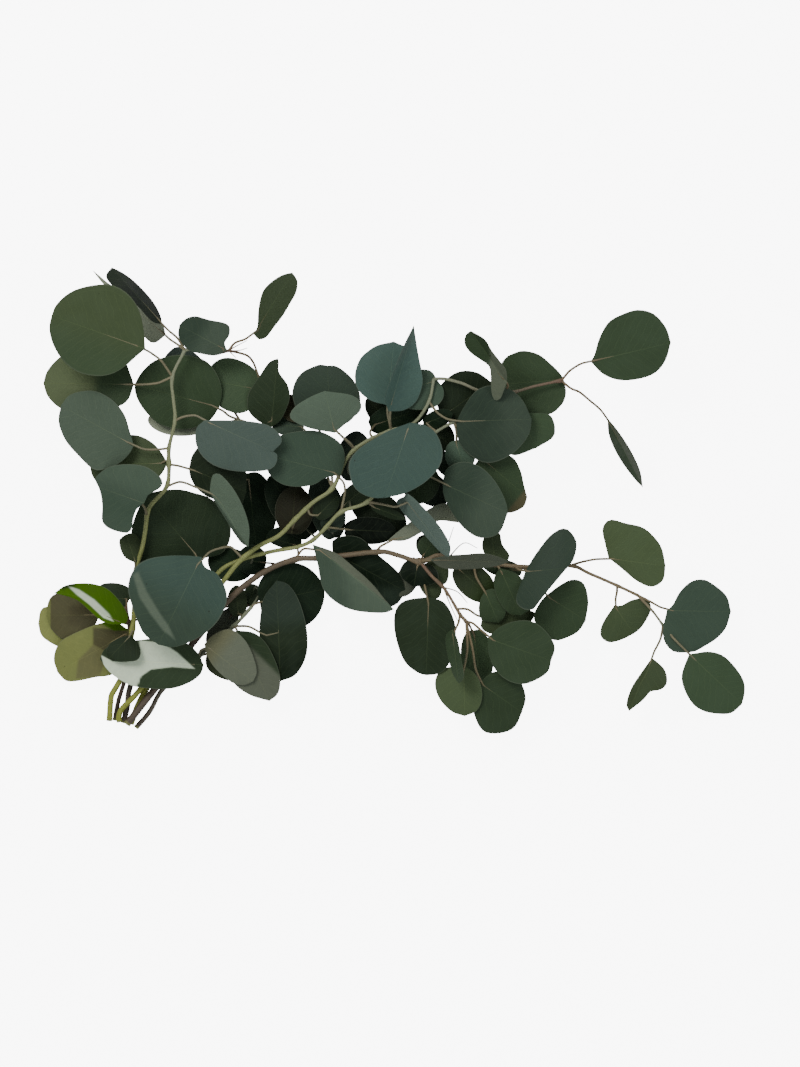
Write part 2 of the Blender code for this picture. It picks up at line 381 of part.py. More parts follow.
    "L68": (((2, -24), (15, -14), (30, -4), (41, -1), (50, -8)),
            ((46, -16), (35, -15), (28, -20), (20, -25), (8, -31))),
}


def smooth_route(points, step):
    """Point rows every few millimetres along a Catmull-Rom curve through the given rows."""
    rows = np.array(points, float)
    if len(rows) < 2:
        return rows
    padded = np.vstack([2 * rows[0] - rows[1], rows, 2 * rows[-1] - rows[-2]])
    found = [rows[0]]
    for i in range(1, len(padded) - 2):
        p0, p1, p2, p3 = padded[i - 1:i + 3]
        length = np.linalg.norm((p2 - p1)[:2])
        count = max(1, int(round(length / step)))
        for k in range(1, count + 1):
            t = k / count
            found.append(0.5 * (2 * p1 + (p2 - p0) * t + (2 * p0 - 5 * p1 + 4 * p2 - p3) * t * t
                                + (3 * p1 - p0 - 3 * p2 + p3) * t ** 3))
    return np.array(found)


def margin(leaf, edge, u):
    """Plan X and Y at shares of the way along one margin, from base to tip."""
    rows = smooth_route((leaf.base, *edge, leaf.tip), 3.0)
    steps = np.concatenate([[0], np.cumsum(np.hypot(*np.diff(rows, axis=0).T))])
    return np.interp(u * steps[-1], steps, rows[:, 0]), np.interp(u * steps[-1], steps, rows[:, 1])


def plan_point(leaf, u, v):
    """Plan position of a point of the blade, its share of the way along and its share out to a side."""
    base = np.array(leaf.base, float)
    axis = np.array(leaf.tip, float) - base
    length = np.hypot(*axis)
    if leaf.name in EDGES:
        edges = EDGES[leaf.name]
        reach = [np.abs(axis[0] * (y - base[1]) - axis[1] * (x - base[0])).max() / length
                 for x, y in (np.array(edge, float).T for edge in edges)]
        left, right = (np.stack(margin(leaf, edge, u)) for edge in (edges[0], edges[1][::-1]))
        middle = np.stack([base[0] + u * axis[0], base[1] + u * axis[1]])
        width = right - left
        share = ((middle - left) * width).sum(axis=0) / np.maximum((width ** 2).sum(axis=0), 1e-6)
        middle = middle + (np.clip(share, 0.2, 0.8) - share) * width
        plan_x, plan_y = middle + np.abs(v) * (np.where(v > 0, left, right) - middle)
        out = (axis[0] * (plan_y - base[1]) - axis[1] * (plan_x - base[0])) / length
        along = (axis[0] * (plan_x - base[0]) + axis[1] * (plan_y - base[1])) / length ** 2
        return plan_x, plan_y, along, out / np.where(out > 0, reach[0], reach[1])
    angle = math.atan2(axis[1], axis[0]) + math.pi / 2 + math.radians(leaf.lean)
    across = np.array([math.cos(angle), math.sin(angle)])
    power = math.log(0.5) / math.log(leaf.wide)
    x = 2 * u ** power - 1
    ends = 0.5 + 0.45 * leaf.point * np.clip(x, 0, 1)
    side = v * np.clip(1 - x * x, 0, 1) ** ends
    inner = 1 - (1 - np.exp(-u / 0.02)) * np.abs(v) ** 1.5
    outer = 1 - (1 - np.exp(-(1 - u) / 0.03)) * np.abs(v) ** 1.5
    along = u + leaf.notch * (1 - u) * inner - leaf.retuse * u * outer
    width = np.where(side > 0, leaf.left, leaf.right)
    plan_x = base[0] + along * axis[0] + side * width * across[0]
    plan_y = base[1] + along * axis[1] + side * width * across[1]
    return plan_x, plan_y, along, side


def blade_point(leaf, u, v):
    """Plan position and rise above the base for u from base to tip and v from side to side."""
    u, v = np.broadcast_arrays(np.asarray(u, float), np.asarray(v, float))
    plan_x, plan_y, along, side = plan_point(leaf, u, v)
    length = math.hypot(leaf.tip[0] - leaf.base[0], leaf.tip[1] - leaf.base[1])
    tip, left, right = leaf.rise
    odd, even = (left - right) / 2, (left + right) / 2
    fold = (1 - leaf.crease) * side ** 2 + leaf.crease * np.sqrt(side ** 2 + 0.002)
    rise = tip * along + leaf.arch * 4 * along * (1 - along) + odd * side + even * fold
    phase = 0.37 * leaf.base[0] + 0.61 * leaf.base[1]
    rise = rise + leaf.wave * np.sin(0.09 * length * along + phase) * side ** 2
    return plan_x, plan_y, rise


def blade_cells(leaf, origin, shape, extra):
    """Highest and lowest rise of the thickened blade in every cell of the plan grid."""
    u, v = np.meshgrid(np.linspace(0, 1, 44), np.linspace(-1, 1, 37), indexing="ij")
    x, y, z = blade_point(leaf, u, v)
    points = np.stack([x, y, z], axis=-1)
    du, dv = np.gradient(points, axis=0), np.gradient(points, axis=1)
    normal = np.cross(du, dv)
    size = np.linalg.norm(normal, axis=-1, keepdims=True)
    normal = np.where(size > 1e-3, normal / np.maximum(size, 1e-9), (0, 0, 1))
    high = np.full(shape, -1e9)
    low = np.full(shape, 1e9)
    for sign in (-1, 0, 1):
        moved = (points + sign * extra * normal).reshape(-1, 3)
        cell = np.floor((moved[:, :2] - origin) / CELL).astype(int)
        np.maximum.at(high, (cell[:, 0], cell[:, 1]), moved[:, 2])
        np.minimum.at(low, (cell[:, 0], cell[:, 1]), moved[:, 2])
    return high, low


class Beads:
    """Every stem and leaf stalk as a string of beads, followed by one entry for each blade."""

    def __init__(self):
        self.rows = []
        self.strings = {}

    def add_string(self, key, points, radius, layers, kind, owner):
        """Adds beads and keeps their index range under the key."""
        start = len(self.rows)
        for i, point in enumerate(points):
            self.rows.append((point[0], point[1], point[2], radius[i], layers[i], kind, owner))
        self.strings[key] = (start, len(self.rows))


def lay_out():
    """Strings of beads for stems and stalks, with the wished heights, and where each one is tied."""
    beads = Beads()
    for number, stem in enumerate(STEMS):
        rows = smooth_route(stem.route, BEAD_STEP)
        radius = np.linspace(stem.thick[0], stem.thick[1], len(rows))
        beads.add_string(stem.name, rows[:, :3], radius, rows[:, 3], 0, number)
    ties = []
    for stem in STEMS:
        if stem.parent:
            start = beads.strings[stem.name][0]
            ties.append((start, nearest_bead(beads, stem.parent, stem.route[0]), 0.0))
    wished = []
    for number, leaf in enumerate(LEAVES):
        root = nearest_bead(beads, leaf.stem, leaf.stalk[0])
        first = beads.rows[root]
        lift = 0.38 * (leaf.layer - first[4])
        end_x, end_y, rise = blade_point(leaf, *np.array(leaf.joint[0]))
        route = [(first[0], first[1])] + list(leaf.stalk[1:]) + [(float(end_x), float(end_y))]
        plan = smooth_route(route, 7.0)
        share = np.linspace(0, 1, len(plan))
        heights = first[2] + lift * share
        layers = first[4] + (leaf.layer - first[4]) * np.clip(1.8 * share, 0, 1)
        points = np.column_stack([plan, heights])
        beads.add_string("stalk " + leaf.name, points, np.full(len(plan), STALK_RADIUS), layers, 1, number)
        start, stop = beads.strings["stalk " + leaf.name]
        ties.append((start, root, 0.0))
        wished.append(first[2] + lift)
    return beads, ties, wished


def nearest_bead(beads, key, point):
    """Index of the bead of a string that is nearest in plan."""
    start, stop = beads.strings[key]
    plan = np.array([row[:2] for row in beads.rows[start:stop]])
    return start + int(np.argmin(np.hypot(*(plan - np.array(point[:2])).T)))


def clearances(beads, stem_nodes):
    """Rows (upper, lower, least height between their reference points) for all that crosses in plan."""
    count = len(beads.rows)
    plan = np.array([row[:2] for row in beads.rows])
    radius = np.array([row[3] for row in beads.rows])
    layer = np.array([row[4] for row in beads.rows])
    kind = np.array([row[5] for row in beads.rows])
    owner = np.array([row[6] for row in beads.rows])
    node = [stem_nodes[STEMS[o].name] if k == 0 else stem_nodes[LEAVES[o].stem]
            for k, o in zip(kind, owner)]
    node = np.array(node)
    origin = np.array([-310.0, -210.0])
    shape = (250, 170)
    extra = BLADE_THICKNESS / 2 + CLEARANCE / 2
    cells = [blade_cells(leaf, origin, shape, extra) for leaf in LEAVES]
    found = []
    for i in range(len(LEAVES)):
        for j in range(i + 1, len(LEAVES)):
            both = (cells[i][0] > -1e8) & (cells[j][0] > -1e8)
            if not both.any():
                continue
            up, down = (i, j) if LEAVES[i].layer >= LEAVES[j].layer else (j, i)
            least = float((cells[down][0] - cells[up][1])[both].max())
            found.append((count + up, count + down, least, "leaf"))
    centres_x = origin[0] + CELL * (np.arange(shape[0]) + 0.5)
    centres_y = origin[1] + CELL * (np.arange(shape[1]) + 0.5)
    for i in range(count):
        reach = radius[i] + CLEARANCE / 2
        x0 = int((plan[i, 0] - reach - 1 - origin[0]) / CELL)
        y0 = int((plan[i, 1] - reach - 1 - origin[1]) / CELL)
        span = int(2 * (reach + 1) / CELL) + 2
        part = (slice(x0, x0 + span), slice(y0, y0 + span))
        apart = np.hypot(centres_x[part[0], None] - plan[i, 0], centres_y[None, part[1]] - plan[i, 1])
        for number, leaf in enumerate(LEAVES):
            high, low = cells[number][0][part], cells[number][1][part]
            near = (high > -1e8) & (apart < reach + 1.0)
            if not near.any():
                continue
            if kind[i] == 1 and owner[i] == number:
                continue
            tied = np.hypot(*(plan[i] - np.array(leaf.base))) < 12.0
            if tied and node[i] == stem_nodes[leaf.stem]:
                continue
            half = np.sqrt(np.clip(reach ** 2 - np.clip(apart - 1.0, 0, None) ** 2, 0, None))
            if layer[i] >= leaf.layer:
                found.append((i, count + number, float((high + half)[near].max()), "string"))
            else:
                found.append((count + number, i, float((half - low)[near].max()), "string"))
    for i in range(count):
        apart = np.hypot(*(plan[i + 1:] - plan[i]).T)
        reach = radius[i] + radius[i + 1:] + CLEARANCE
        for j in np.nonzero((apart < reach) & (node[i + 1:] != node[i]))[0]:
            other = i + 1 + int(j)
            least = float(math.sqrt(reach[j] ** 2 - max(apart[j] - 1.5, 0) ** 2))
            up, down = (i, other) if layer[i] >= layer[other] else (other, i)
            found.append((up, down, least, "beads"))
    return found, cells, node


def settle():
    """Heights at which nothing passes through anything else, with the lowest blades on the surface."""
    stem_nodes = {stem.name: stem.node for stem in STEMS}
    beads, ties, wished = lay_out()
    found, cells, node = clearances(beads, stem_nodes)
    count = len(beads.rows)
    total = count + len(LEAVES)
    wish = np.array([row[2] for row in beads.rows] + wished)
    radius = np.array([row[3] for row in beads.rows])
    floor = np.empty(total)
    floor[:count] = radius + 0.1
    for number, leaf in enumerate(LEAVES):
        floor[count + number] = -cells[number][1].min() - CLEARANCE / 2
    pinned = {count + n: resting_height(leaf) for n, leaf in enumerate(LEAVES) if leaf.grounded}
    up = np.array([row[0] for row in found])
    down = np.array([row[1] for row in found])
    least = np.array([row[2] for row in found])
    z = np.maximum(wish, floor)
    fixed = np.zeros(total, bool)
    for index, height in pinned.items():
        fixed[index] = True
        z[index] = height
    strings = list(beads.strings.items())
    ends = []
    for number, leaf in enumerate(LEAVES):
        start, stop = beads.strings["stalk " + leaf.name]
        ends.append((stop - 1, count + number, float(blade_point(leaf, *np.array(leaf.joint[0]))[2])))
    for turn in range(700):
        pull = 0.06 if turn < 420 else 0.01
        z[count:] += pull * (wish[count:] - z[count:])
        for key, (start, stop) in strings:
            if key.startswith("stalk"):
                inner = z[start:stop]
                if len(inner) > 2:
                    inner[1:-1] += 0.45 * (0.5 * (inner[:-2] + inner[2:]) - inner[1:-1])
            else:
                change = z[start:stop] - wish[start:stop]
                change[1:-1] += 0.48 * (0.5 * (change[:-2] + change[2:]) - change[1:-1])
                change[0] += 0.3 * (change[1] - change[0])
                change[-1] += 0.3 * (change[-2] - change[-1])
                z[start:stop] = wish[start:stop] + (1 - 0.15 * pull) * change
        for a, b, _ in ties:
            mean = 0.15 * z[a] + 0.85 * z[b]
            z[a] = z[b] = mean
        for a, b, rise in ends:
            gap = z[b] + rise - z[a]
            z[a] += 0.75 * gap
            z[b] -= 0.12 * gap
        short = least - (z[up] - z[down])
        short = np.where(short > 0, short, 0)
        times = np.bincount(up, short > 0, total) + np.bincount(down, short > 0, total)
        move = np.bincount(up, short * 0.5, total) - np.bincount(down, short * 0.5, total)
        z += 1.25 * move / np.maximum(times, 1)
        z = np.maximum(z, floor)
        for index, height in pinned.items():
            z[index] = height
    rank = np.array([row[4] for row in beads.rows] + [leaf.layer for leaf in LEAVES])
    order = np.argsort(rank[up], kind="stable")
    for _ in range(3):
        for k in order:
            need = z[down[k]] + least[k]
            if z[up[k]] < need and not fixed[up[k]]:
                z[up[k]] = need
    for a, b, rise in ends:
        z[a] = z[b] + rise
    return beads, z, (up, down, least, node, found)


def resting_height(leaf):
    """Height of the base at which the lowest corner of the blade is on the surface."""
    return -float(blade_shell(leaf)[0][:, 2].min())


def tube(points, radii, sides):
    """Closed tube through points in millimetres."""
    points = np.array(points, float)
    ahead = np.gradient(points, axis=0)
    ahead /= np.maximum(np.linalg.norm(ahead, axis=1, keepdims=True), 1e-9)
    vertices = []
    for point, way, radius in zip(points, ahead, radii):
        first = np.cross(way, (0, 0, 1))
        if np.linalg.norm(first) < 1e-3:
            first = np.array((1.0, 0, 0))
        first /= np.linalg.norm(first)
        second = np.cross(first, way)
        for k in range(sides):
            turn = 2 * math.pi * k / sides + math.pi / 2
            vertices.append(point + radius * (math.cos(turn) * first + math.sin(turn) * second))
    faces = []
    for i in range(len(points) - 1):
        for k in range(sides):
            a, b = i * sides + k, i * sides + (k + 1) % sides
            faces.append((a, b, b + sides, a + sides))
    last = (len(points) - 1) * sides
    faces.append(tuple(reversed(range(sides))))
    faces.append(tuple(last + k for k in range(sides)))
    return np.array(vertices), faces


def blade_mid(leaf, rows):
    """Middle surface of a blade as points and faces, from the base point to the tip point."""
    columns = (-1.0, 0.0, 1.0)
    u = [0.0] + [r for r in rows for _ in columns] + [1.0]
    v = [0.0] + [c for _ in rows for c in columns] + [0.0]
    x, y, z = blade_point(leaf, np.array(u), np.array(v))
    points = np.stack([x, y, z], axis=-1)
    faces = []
    for k in range(2):
        faces.append((0, 1 + k, 2 + k))
    for r in range(len(rows) - 1):
        for k in range(2):
            a = 1 + 3 * r + k
            faces.append((a, a + 3, a + 4))
            faces.append((a, a + 4, a + 1))
    last = len(points) - 1
    start = 1 + 3 * (len(rows) - 1)
    for k in range(2):
        faces.append((start + k, last, start + k + 1))
    rim = [0] + [1 + 3 * r for r in range(len(rows))] + [last]
    rim += [1 + 3 * r + 2 for r in reversed(range(len(rows)))]
    return points, faces, rim


def blade_shell(leaf):
    """Blade of even thickness, closed round its rim, with its base point at height zero."""
    points, faces, rim = blade_mid(leaf, BLADE_ROWS)
    normal = np.zeros_like(points)
    for a, b, c in faces:
        face = np.cross(points[b] - points[a], points[c] - points[a])
        for k in (a, b, c):
            normal[k] += face
    normal /= np.linalg.norm(normal, axis=1, keepdims=True)
    count = len(points)
    above = points + normal * BLADE_THICKNESS / 2
    below = points - normal * BLADE_THICKNESS / 2
    vertices = np.vstack([above, below])
    made = [tuple(face) for face in faces]
    made += [(c + count, b + count, a + count) for a, b, c in faces]
    for a, b in zip(rim, rim[1:] + rim[:1]):
        made.append((a, a + count, b + count, b))
    return vertices, made


def mesh_object(name, vertices, faces):
    """Object from millimetre points, with faces turned outwards."""
    mesh = bpy.data.meshes.new(name)
    mesh.from_pydata([tuple(MM * float(c) for c in v) for v in vertices], [], faces)
    work = bmesh.new()
    work.from_mesh(mesh)
    bmesh.ops.triangulate(work, faces=work.faces)
    bmesh.ops.recalc_face_normals(work, faces=work.faces)
    work.to_mesh(mesh)
    work.free()
    made = bpy.data.objects.new(name, mesh)
    return made


def stalk_points(leaf, beads, z, number):
    """Stalk from inside the stem to a little way along the underside of the blade."""
    start, stop = beads.strings["stalk " + leaf.name]
    count = len(beads.rows)
    points = [(beads.rows[i][0], beads.rows[i][1], z[i]) for i in range(start, stop)]
    base = z[count + number]
    points = points[:-1]
    for u, v in leaf.joint:
        x, y, rise = blade_point(leaf, np.array([u]), np.array([v]))
        points.append((float(x[0]), float(y[0]), float(rise[0]) + base))
    return points


def thinned(points, radii, keep):
    """Every few points of a route, with both ends."""
    chosen = list(range(0, len(points), keep))
    if chosen[-1] != len(points) - 1:
        chosen.append(len(points) - 1)
    return [points[i] for i in chosen], [radii[i] for i in chosen]


def build_node(name, beads, z, shift):
    """One leafy stem: stem runs, stalks and blades joined by one union."""
    pieces = []
    own = [stem for stem in STEMS if stem.node == name]
    for stem in own:
        start, stop = beads.strings[stem.name]
        points = [(beads.rows[i][0], beads.rows[i][1], z[i]) for i in range(start, stop)]
        radii = [beads.rows[i][3] for i in range(start, stop)]
        points, radii = thinned(points, radii, 2)
        pieces.append(tube(np.array(points) + shift, radii, STEM_SIDES))
    names = {stem.name for stem in own}
    count = len(beads.rows)
    for number, leaf in enumerate(LEAVES):
        if leaf.stem not in names:
            continue
        points = stalk_points(leaf, beads, z, number)
        radii = np.linspace(STALK_RADIUS, STALK_RADIUS * 0.85, len(points))
        pieces.append(tube(np.array(points) + shift, radii, STALK_SIDES))
        vertices, faces = blade_shell(leaf)
        pieces.append((vertices + shift + (0.0, 0.0, z[count + number]), faces))
    first = mesh_object(name, *pieces[0])
    bpy.context.scene.collection.objects.link(first)
    group = bpy.data.collections.new(name + "_pieces")
    bpy.context.scene.collection.children.link(group)
    others = []
    for i, (vertices, faces) in enumerate(pieces[1:]):
        made = mesh_object(f"{name}_{i}", vertices, faces)
        group.objects.link(made)
        others.append(made)
    union = first.modifiers.new("union", "BOOLEAN")
    union.operation = "UNION"
    union.operand_type = "COLLECTION"
    union.collection = group
    union.solver = "MANIFOLD"
    bpy.context.view_layer.update()
    graph = bpy.context.evaluated_depsgraph_get()
    joined = bpy.data.meshes.new_from_object(first.evaluated_get(graph))
    first.modifiers.clear()
    first.data = joined
    for made in others:
        bpy.data.objects.remove(made)
    bpy.data.collections.remove(group)
    return first


def look(name):
    """Material of a leafy stem."""
    colour, roughness = NODE_LOOKS[name]
    made = bpy.data.materials.new(name)
    made.use_nodes = True
    shader = made.node_tree.nodes["Principled BSDF"]
    shader.inputs["Base Color"].default_value = (*colour, 1)
    shader.inputs["Roughness"].default_value = roughness
    shader.inputs["Metallic"].default_value = 0
    return made


def main():
    """Clears the scene and builds every leafy stem."""
    for old in list(bpy.data.objects):
        bpy.data.objects.remove(old)
    beads, z, _ = settle()
    shift = np.array(SHIFT)
    for name in NODE_LOOKS:
        made = build_node(name, beads, z, shift)
        made.data.materials.clear()
        made.data.materials.append(look(name))
        made.data.shade_smooth()
        made.data.set_sharp_from_angle(angle=math.radians(50))


if __name__ == "__main__":
    main()
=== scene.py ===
"""A bunch of cut silver-dollar eucalyptus branches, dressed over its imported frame.

Tables are in millimetres in plan, X along the bunch and Y away from the reader. Every leafy stem gets a
piece for its blades and a piece for its wood, which replace its CAD node.
"""

from __future__ import annotations

import json
import logging
import math
from dataclasses import dataclass, field
from enum import Enum

import bpy
import numpy as np
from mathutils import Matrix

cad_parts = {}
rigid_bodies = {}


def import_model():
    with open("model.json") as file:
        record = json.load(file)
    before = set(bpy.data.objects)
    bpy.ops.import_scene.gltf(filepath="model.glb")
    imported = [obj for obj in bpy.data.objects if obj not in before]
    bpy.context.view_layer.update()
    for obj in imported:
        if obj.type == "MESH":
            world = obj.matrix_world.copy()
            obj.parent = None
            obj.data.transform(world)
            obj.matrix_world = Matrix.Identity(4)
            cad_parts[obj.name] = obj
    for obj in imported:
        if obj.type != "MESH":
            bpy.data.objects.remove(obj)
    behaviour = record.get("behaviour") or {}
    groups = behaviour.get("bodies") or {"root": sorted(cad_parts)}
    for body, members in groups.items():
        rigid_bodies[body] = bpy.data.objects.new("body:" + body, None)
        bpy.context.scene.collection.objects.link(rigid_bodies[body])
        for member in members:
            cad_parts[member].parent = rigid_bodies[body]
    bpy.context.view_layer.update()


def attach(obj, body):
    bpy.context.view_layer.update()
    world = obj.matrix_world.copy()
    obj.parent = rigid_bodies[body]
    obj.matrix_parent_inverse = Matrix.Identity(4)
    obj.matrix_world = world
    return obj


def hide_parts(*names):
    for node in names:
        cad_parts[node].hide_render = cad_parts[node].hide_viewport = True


MM = 0.001
CAD_THICKNESS = 0.8
BLADE_THICKNESS = 0.5
STALK_RADIUS = 0.9
CLEARANCE = 0.8
BEAD_STEP = 6.0
CELL = 2.5
CAD_ROWS = (0.10, 0.30, 0.54, 0.77, 0.93)
PURITY = 1.03
SHIFT = (3.22, -1.09, 0.0)
log = logging.getLogger("eucalyptus")

Vec = tuple[float, ...]


def linear(red: float, green: float, blue: float) -> Vec:
    """Linear colour from display values of 0 to 255."""
    out = []
    for value in (red, green, blue):
        c = value / 255
        out.append(c / 12.92 if c <= 0.04045 else ((c + 0.055) / 1.055) ** 2.4)
    return tuple(out)


class Tint(Enum):
    """Leaf and bark colours, as display values, some of them painted light or painted shade."""

    BLUE = (70, 90, 83)
    SLATE = (78, 91, 84)
    SAGE = (80, 93, 79)
    GREEN = (60, 75, 54)
    MOSS = (68, 80, 55)
    FOREST = (48, 61, 42)
    TEAL = (58, 72, 60)
    # Painted shade: near-black green for leaves and parts of leaves lying in deep shade.
    NIGHT = (20, 34, 20)
    OLIVE = (86, 96, 68)
    # Painted highlight: pale grey-green for the sun glint streak on one leaf.
    PALE = (96, 107, 92)
    ASH = (100, 105, 90)
    TAUPE = (100, 97, 68)
    UMBER = (72, 68, 48)
    # Painted light: bright lime for leaves lit through from behind and for a lit rim.
    LIME = (72, 106, 16)
    STRAW = (134, 140, 82)
    # Painted light: chalk white for sunlit patches on leaves.
    CHALK = (218, 232, 204)
    BARK_GREEN = (120, 126, 48)
    BARK_GREY = (106, 112, 94)
    BARK_BROWN = (64, 54, 46)
    BARK_RED = (92, 72, 60)
    STALK_TAN = (106, 94, 72)

    def rgb(self) -> np.ndarray:
        """Linear colour, a little purer than its display values because the view softens it."""
        colour = np.array(linear(*self.value))
        grey = colour @ (0.2126, 0.7152, 0.0722)
        return np.maximum(grey + PURITY * (colour - grey), 0.0)


@dataclass(frozen=True)
class Fade:
    """A second tint that comes in over one part of a blade; on a few blades the contrast is painted shade, and on L49
    it is painted backlight.

    It covers where along * cos + side * sin passes the edge, with both running from -1 to 1.
    """

    tint: Tint
    angle: float
    edge: float
    soft: float = 0.15
    most: float = 1.0


@dataclass(frozen=True)
class Run:
    """One woody run: route points are (x, y, height, layer), thick is the radius at both ends."""

    name: str
    node: str
    route: tuple
    thick: tuple
    parent: str = ""


@dataclass(frozen=True)
class Blade:
    """One leaf: base and tip in plan, half widths, rises of the tip and both sides, and its layer."""

    name: str
    stem: str
    stalk: tuple
    base: tuple
    tip: tuple
    left: float
    right: float
    rise: tuple
    layer: float
    point: float = 0.15
    lean: float = 0.0
    notch: float = 0.04
    retuse: float = 0.0
    arch: float = 2.0
    crease: float = 0.3
    wide: float = 0.5
    wave: float = 1.0
    grounded: bool = False
    joint: tuple = ((0.09, 0.0), (0.17, 0.0))


@dataclass(frozen=True)
class Look:
    """How a blade is coloured: its tint, a brightness that also paints the light or shade the blade lies in, fades
    over it and how strong its veins are.
    """

    tint: Tint
    light: float = 1.0
    fades: tuple = ()
    veins: float = 1.0


@dataclass(frozen=True)
class LightShadePatch:
    """A second tint inside a closed plan outline, with a soft edge in millimetres, used to paint sunlit patches, cast
    shadows, shade and lit rims onto single blades.
    """

    tint: Tint
    outline: tuple
    soft: float = 1.5
    most: float = 1.0

    def share(self, x: np.ndarray, y: np.ndarray) -> np.ndarray:
        """How much of the tint plan points take.

        Args:
            x: Plan X.
            y: Plan Y.

        Returns:
            0 outside to most inside.
        """
        inside = np.zeros(x.shape, bool)
        away = np.full(x.shape, 1e6)
        for (ax, ay), (bx, by) in zip(self.outline, (*self.outline[1:], self.outline[0])):
            wide, high = bx - ax, by - ay
            share = np.clip(((x - ax) * wide + (y - ay) * high) / (wide ** 2 + high ** 2), 0, 1)
            away = np.minimum(away, np.hypot(x - ax - share * wide, y - ay - share * high))
            if high:
                inside ^= ((ay > y) != (by > y)) & (x < ax + (y - ay) / high * wide)
        return self.most * smoothstep(np.where(inside, away, -away) / self.soft + 0.5)


@dataclass(frozen=True)
class Under:
    """A leaf low in the bunch that shows only through gaps, with painted shade in its dark look: its blade, height
    and look.
    """

    blade: Blade
    height: float
    look: Look


def smoothstep(x: np.ndarray) -> np.ndarray:
    """0 to 1 with soft ends."""
    t = np.clip(x, 0, 1)
    return t * t * (3 - 2 * t)


RUNS = (
    Run("A", "left_stem", (
        (-230, -176, 7, 55), (-228, -155, 10, 55), (-221, -143, 12, 55), (-212, -108, 16, 55),
        (-209, -80, 19, 55), (-208, -55, 23, 55), (-203, -38, 27, 55), (-200, -22, 30, 55),
        (-197, -5, 33, 55), (-183, 12, 37, 55), (-181, 30, 39, 55), (-181, 43, 41, 55),
        (-176, 65, 44, 55), (-177, 80, 46, 55), (-178, 100, 48, 55), (-168, 121, 50, 55)), (2.4, 1.2)),
    Run("A2", "left_stem", (
        (-168, 121, 50, 55), (-159, 122, 50, 56), (-145, 118, 49, 58), (-133, 121, 48, 60)),
        (1.2, 0.9), "A"),
    Run("F", "inner_stem", (
        (-219, -178, 5, 18), (-216, -165, 6, 18), (-213, -147, 7, 18), (-198, -115, 9, 18),
        (-178, -82, 12, 18), (-160, -50, 15, 18), (-149, -20, 17, 18), (-141, 15, 19, 22),
        (-133, 45, 21, 30), (-125, 66, 24, 36)), (2.4, 1.1)),
    Run("B", "upper_stem", (
        (-213, -179, 11, 51), (-203, -155, 12, 51), (-175, -112, 16, 51), (-150, -80, 22, 51),
        (-127, -50, 29, 54), (-110, -36, 33, 54), (-93, -27, 36, 54), (-80, -14, 39, 54),
        (-65, 0, 42, 54), (-50, 11, 44, 54), (-40, 32, 46, 54), (-32, 42, 47, 54), (-18, 51, 49, 54),
        (-3, 57, 50, 54), (15, 63, 52, 57), (27, 80, 54, 61), (31, 98, 55, 62)), (2.4, 1.2)),
    Run("B2", "upper_stem", (
        (31, 98, 55, 62), (40, 98, 55, 62), (55, 94, 54, 62), (66, 89, 53, 62), (80, 87, 52, 62),
        (96, 88, 52, 62), (110, 92, 52, 62), (133, 97, 52, 62)), (1.3, 1.1), "B"),
    Run("C", "middle_stem", (
        (-222, -177, 9, 60), (-221, -168, 11, 60), (-203, -148, 16, 60), (-175, -105, 20, 55),
        (-145, -60, 25, 50), (-125, -47, 28, 48), (-100, -40, 32, 50), (-78, -36, 36, 55),
        (-65, -30, 39, 58), (-55, -20, 41, 58), (-43, -8, 44, 58), (-22, 0, 47, 57), (-8, 18, 49, 52),
        (8, 38, 50, 50), (33, 56, 51, 48), (47, 64, 52, 48)), (2.3, 1.1)),
    Run("D", "right_stem", (
        (-216, -179, 5, 52), (-193, -150, 7, 52), (-163, -114, 11, 52), (-133, -78, 16, 52),
        (-105, -56, 23, 52), (-80, -46, 29, 52), (-60, -45, 33, 52), (-15, -40, 38, 52),
        (0, -42, 39, 52), (20, -48, 40, 52), (33, -43, 41, 53), (45, -45, 41, 53), (63, -51, 41, 53),
        (80, -50, 41, 53), (103, -52, 40, 55), (140, -51, 39, 60), (155, -57, 38, 60),
        (178, -67, 35, 60), (195, -75, 32, 60)), (2.9, 1.2)),
    Run("D2", "right_stem", (
        (195, -75, 32, 60), (207, -88, 31, 60), (215, -99, 30, 60)), (1.2, 0.9), "D"),
    Run("D3", "right_stem", (
        (20, -48, 40, 55), (30, -60, 39, 60), (40, -70, 38, 60), (52, -90, 36, 58), (57, -96, 35, 58)),
        (1.5, 1.0), "D"),
    Run("G", "lower_stem", (
        (-209, -182, 4, 45), (-198, -169, 5, 45), (-186, -149, 7, 45), (-158, -124, 12, 45),
        (-130, -100, 20, 45), (-115, -84, 24, 45)), (2.1, 1.3)),
    Run("H", "short_stem", (
        (-226, -176, 3, 40), (-223, -160, 5, 40), (-217, -140, 8, 40), (-215, -120, 12, 40),
        (-214, -98, 16, 40), (-217, -84, 18, 40)), (2.0, 1.0)),
)

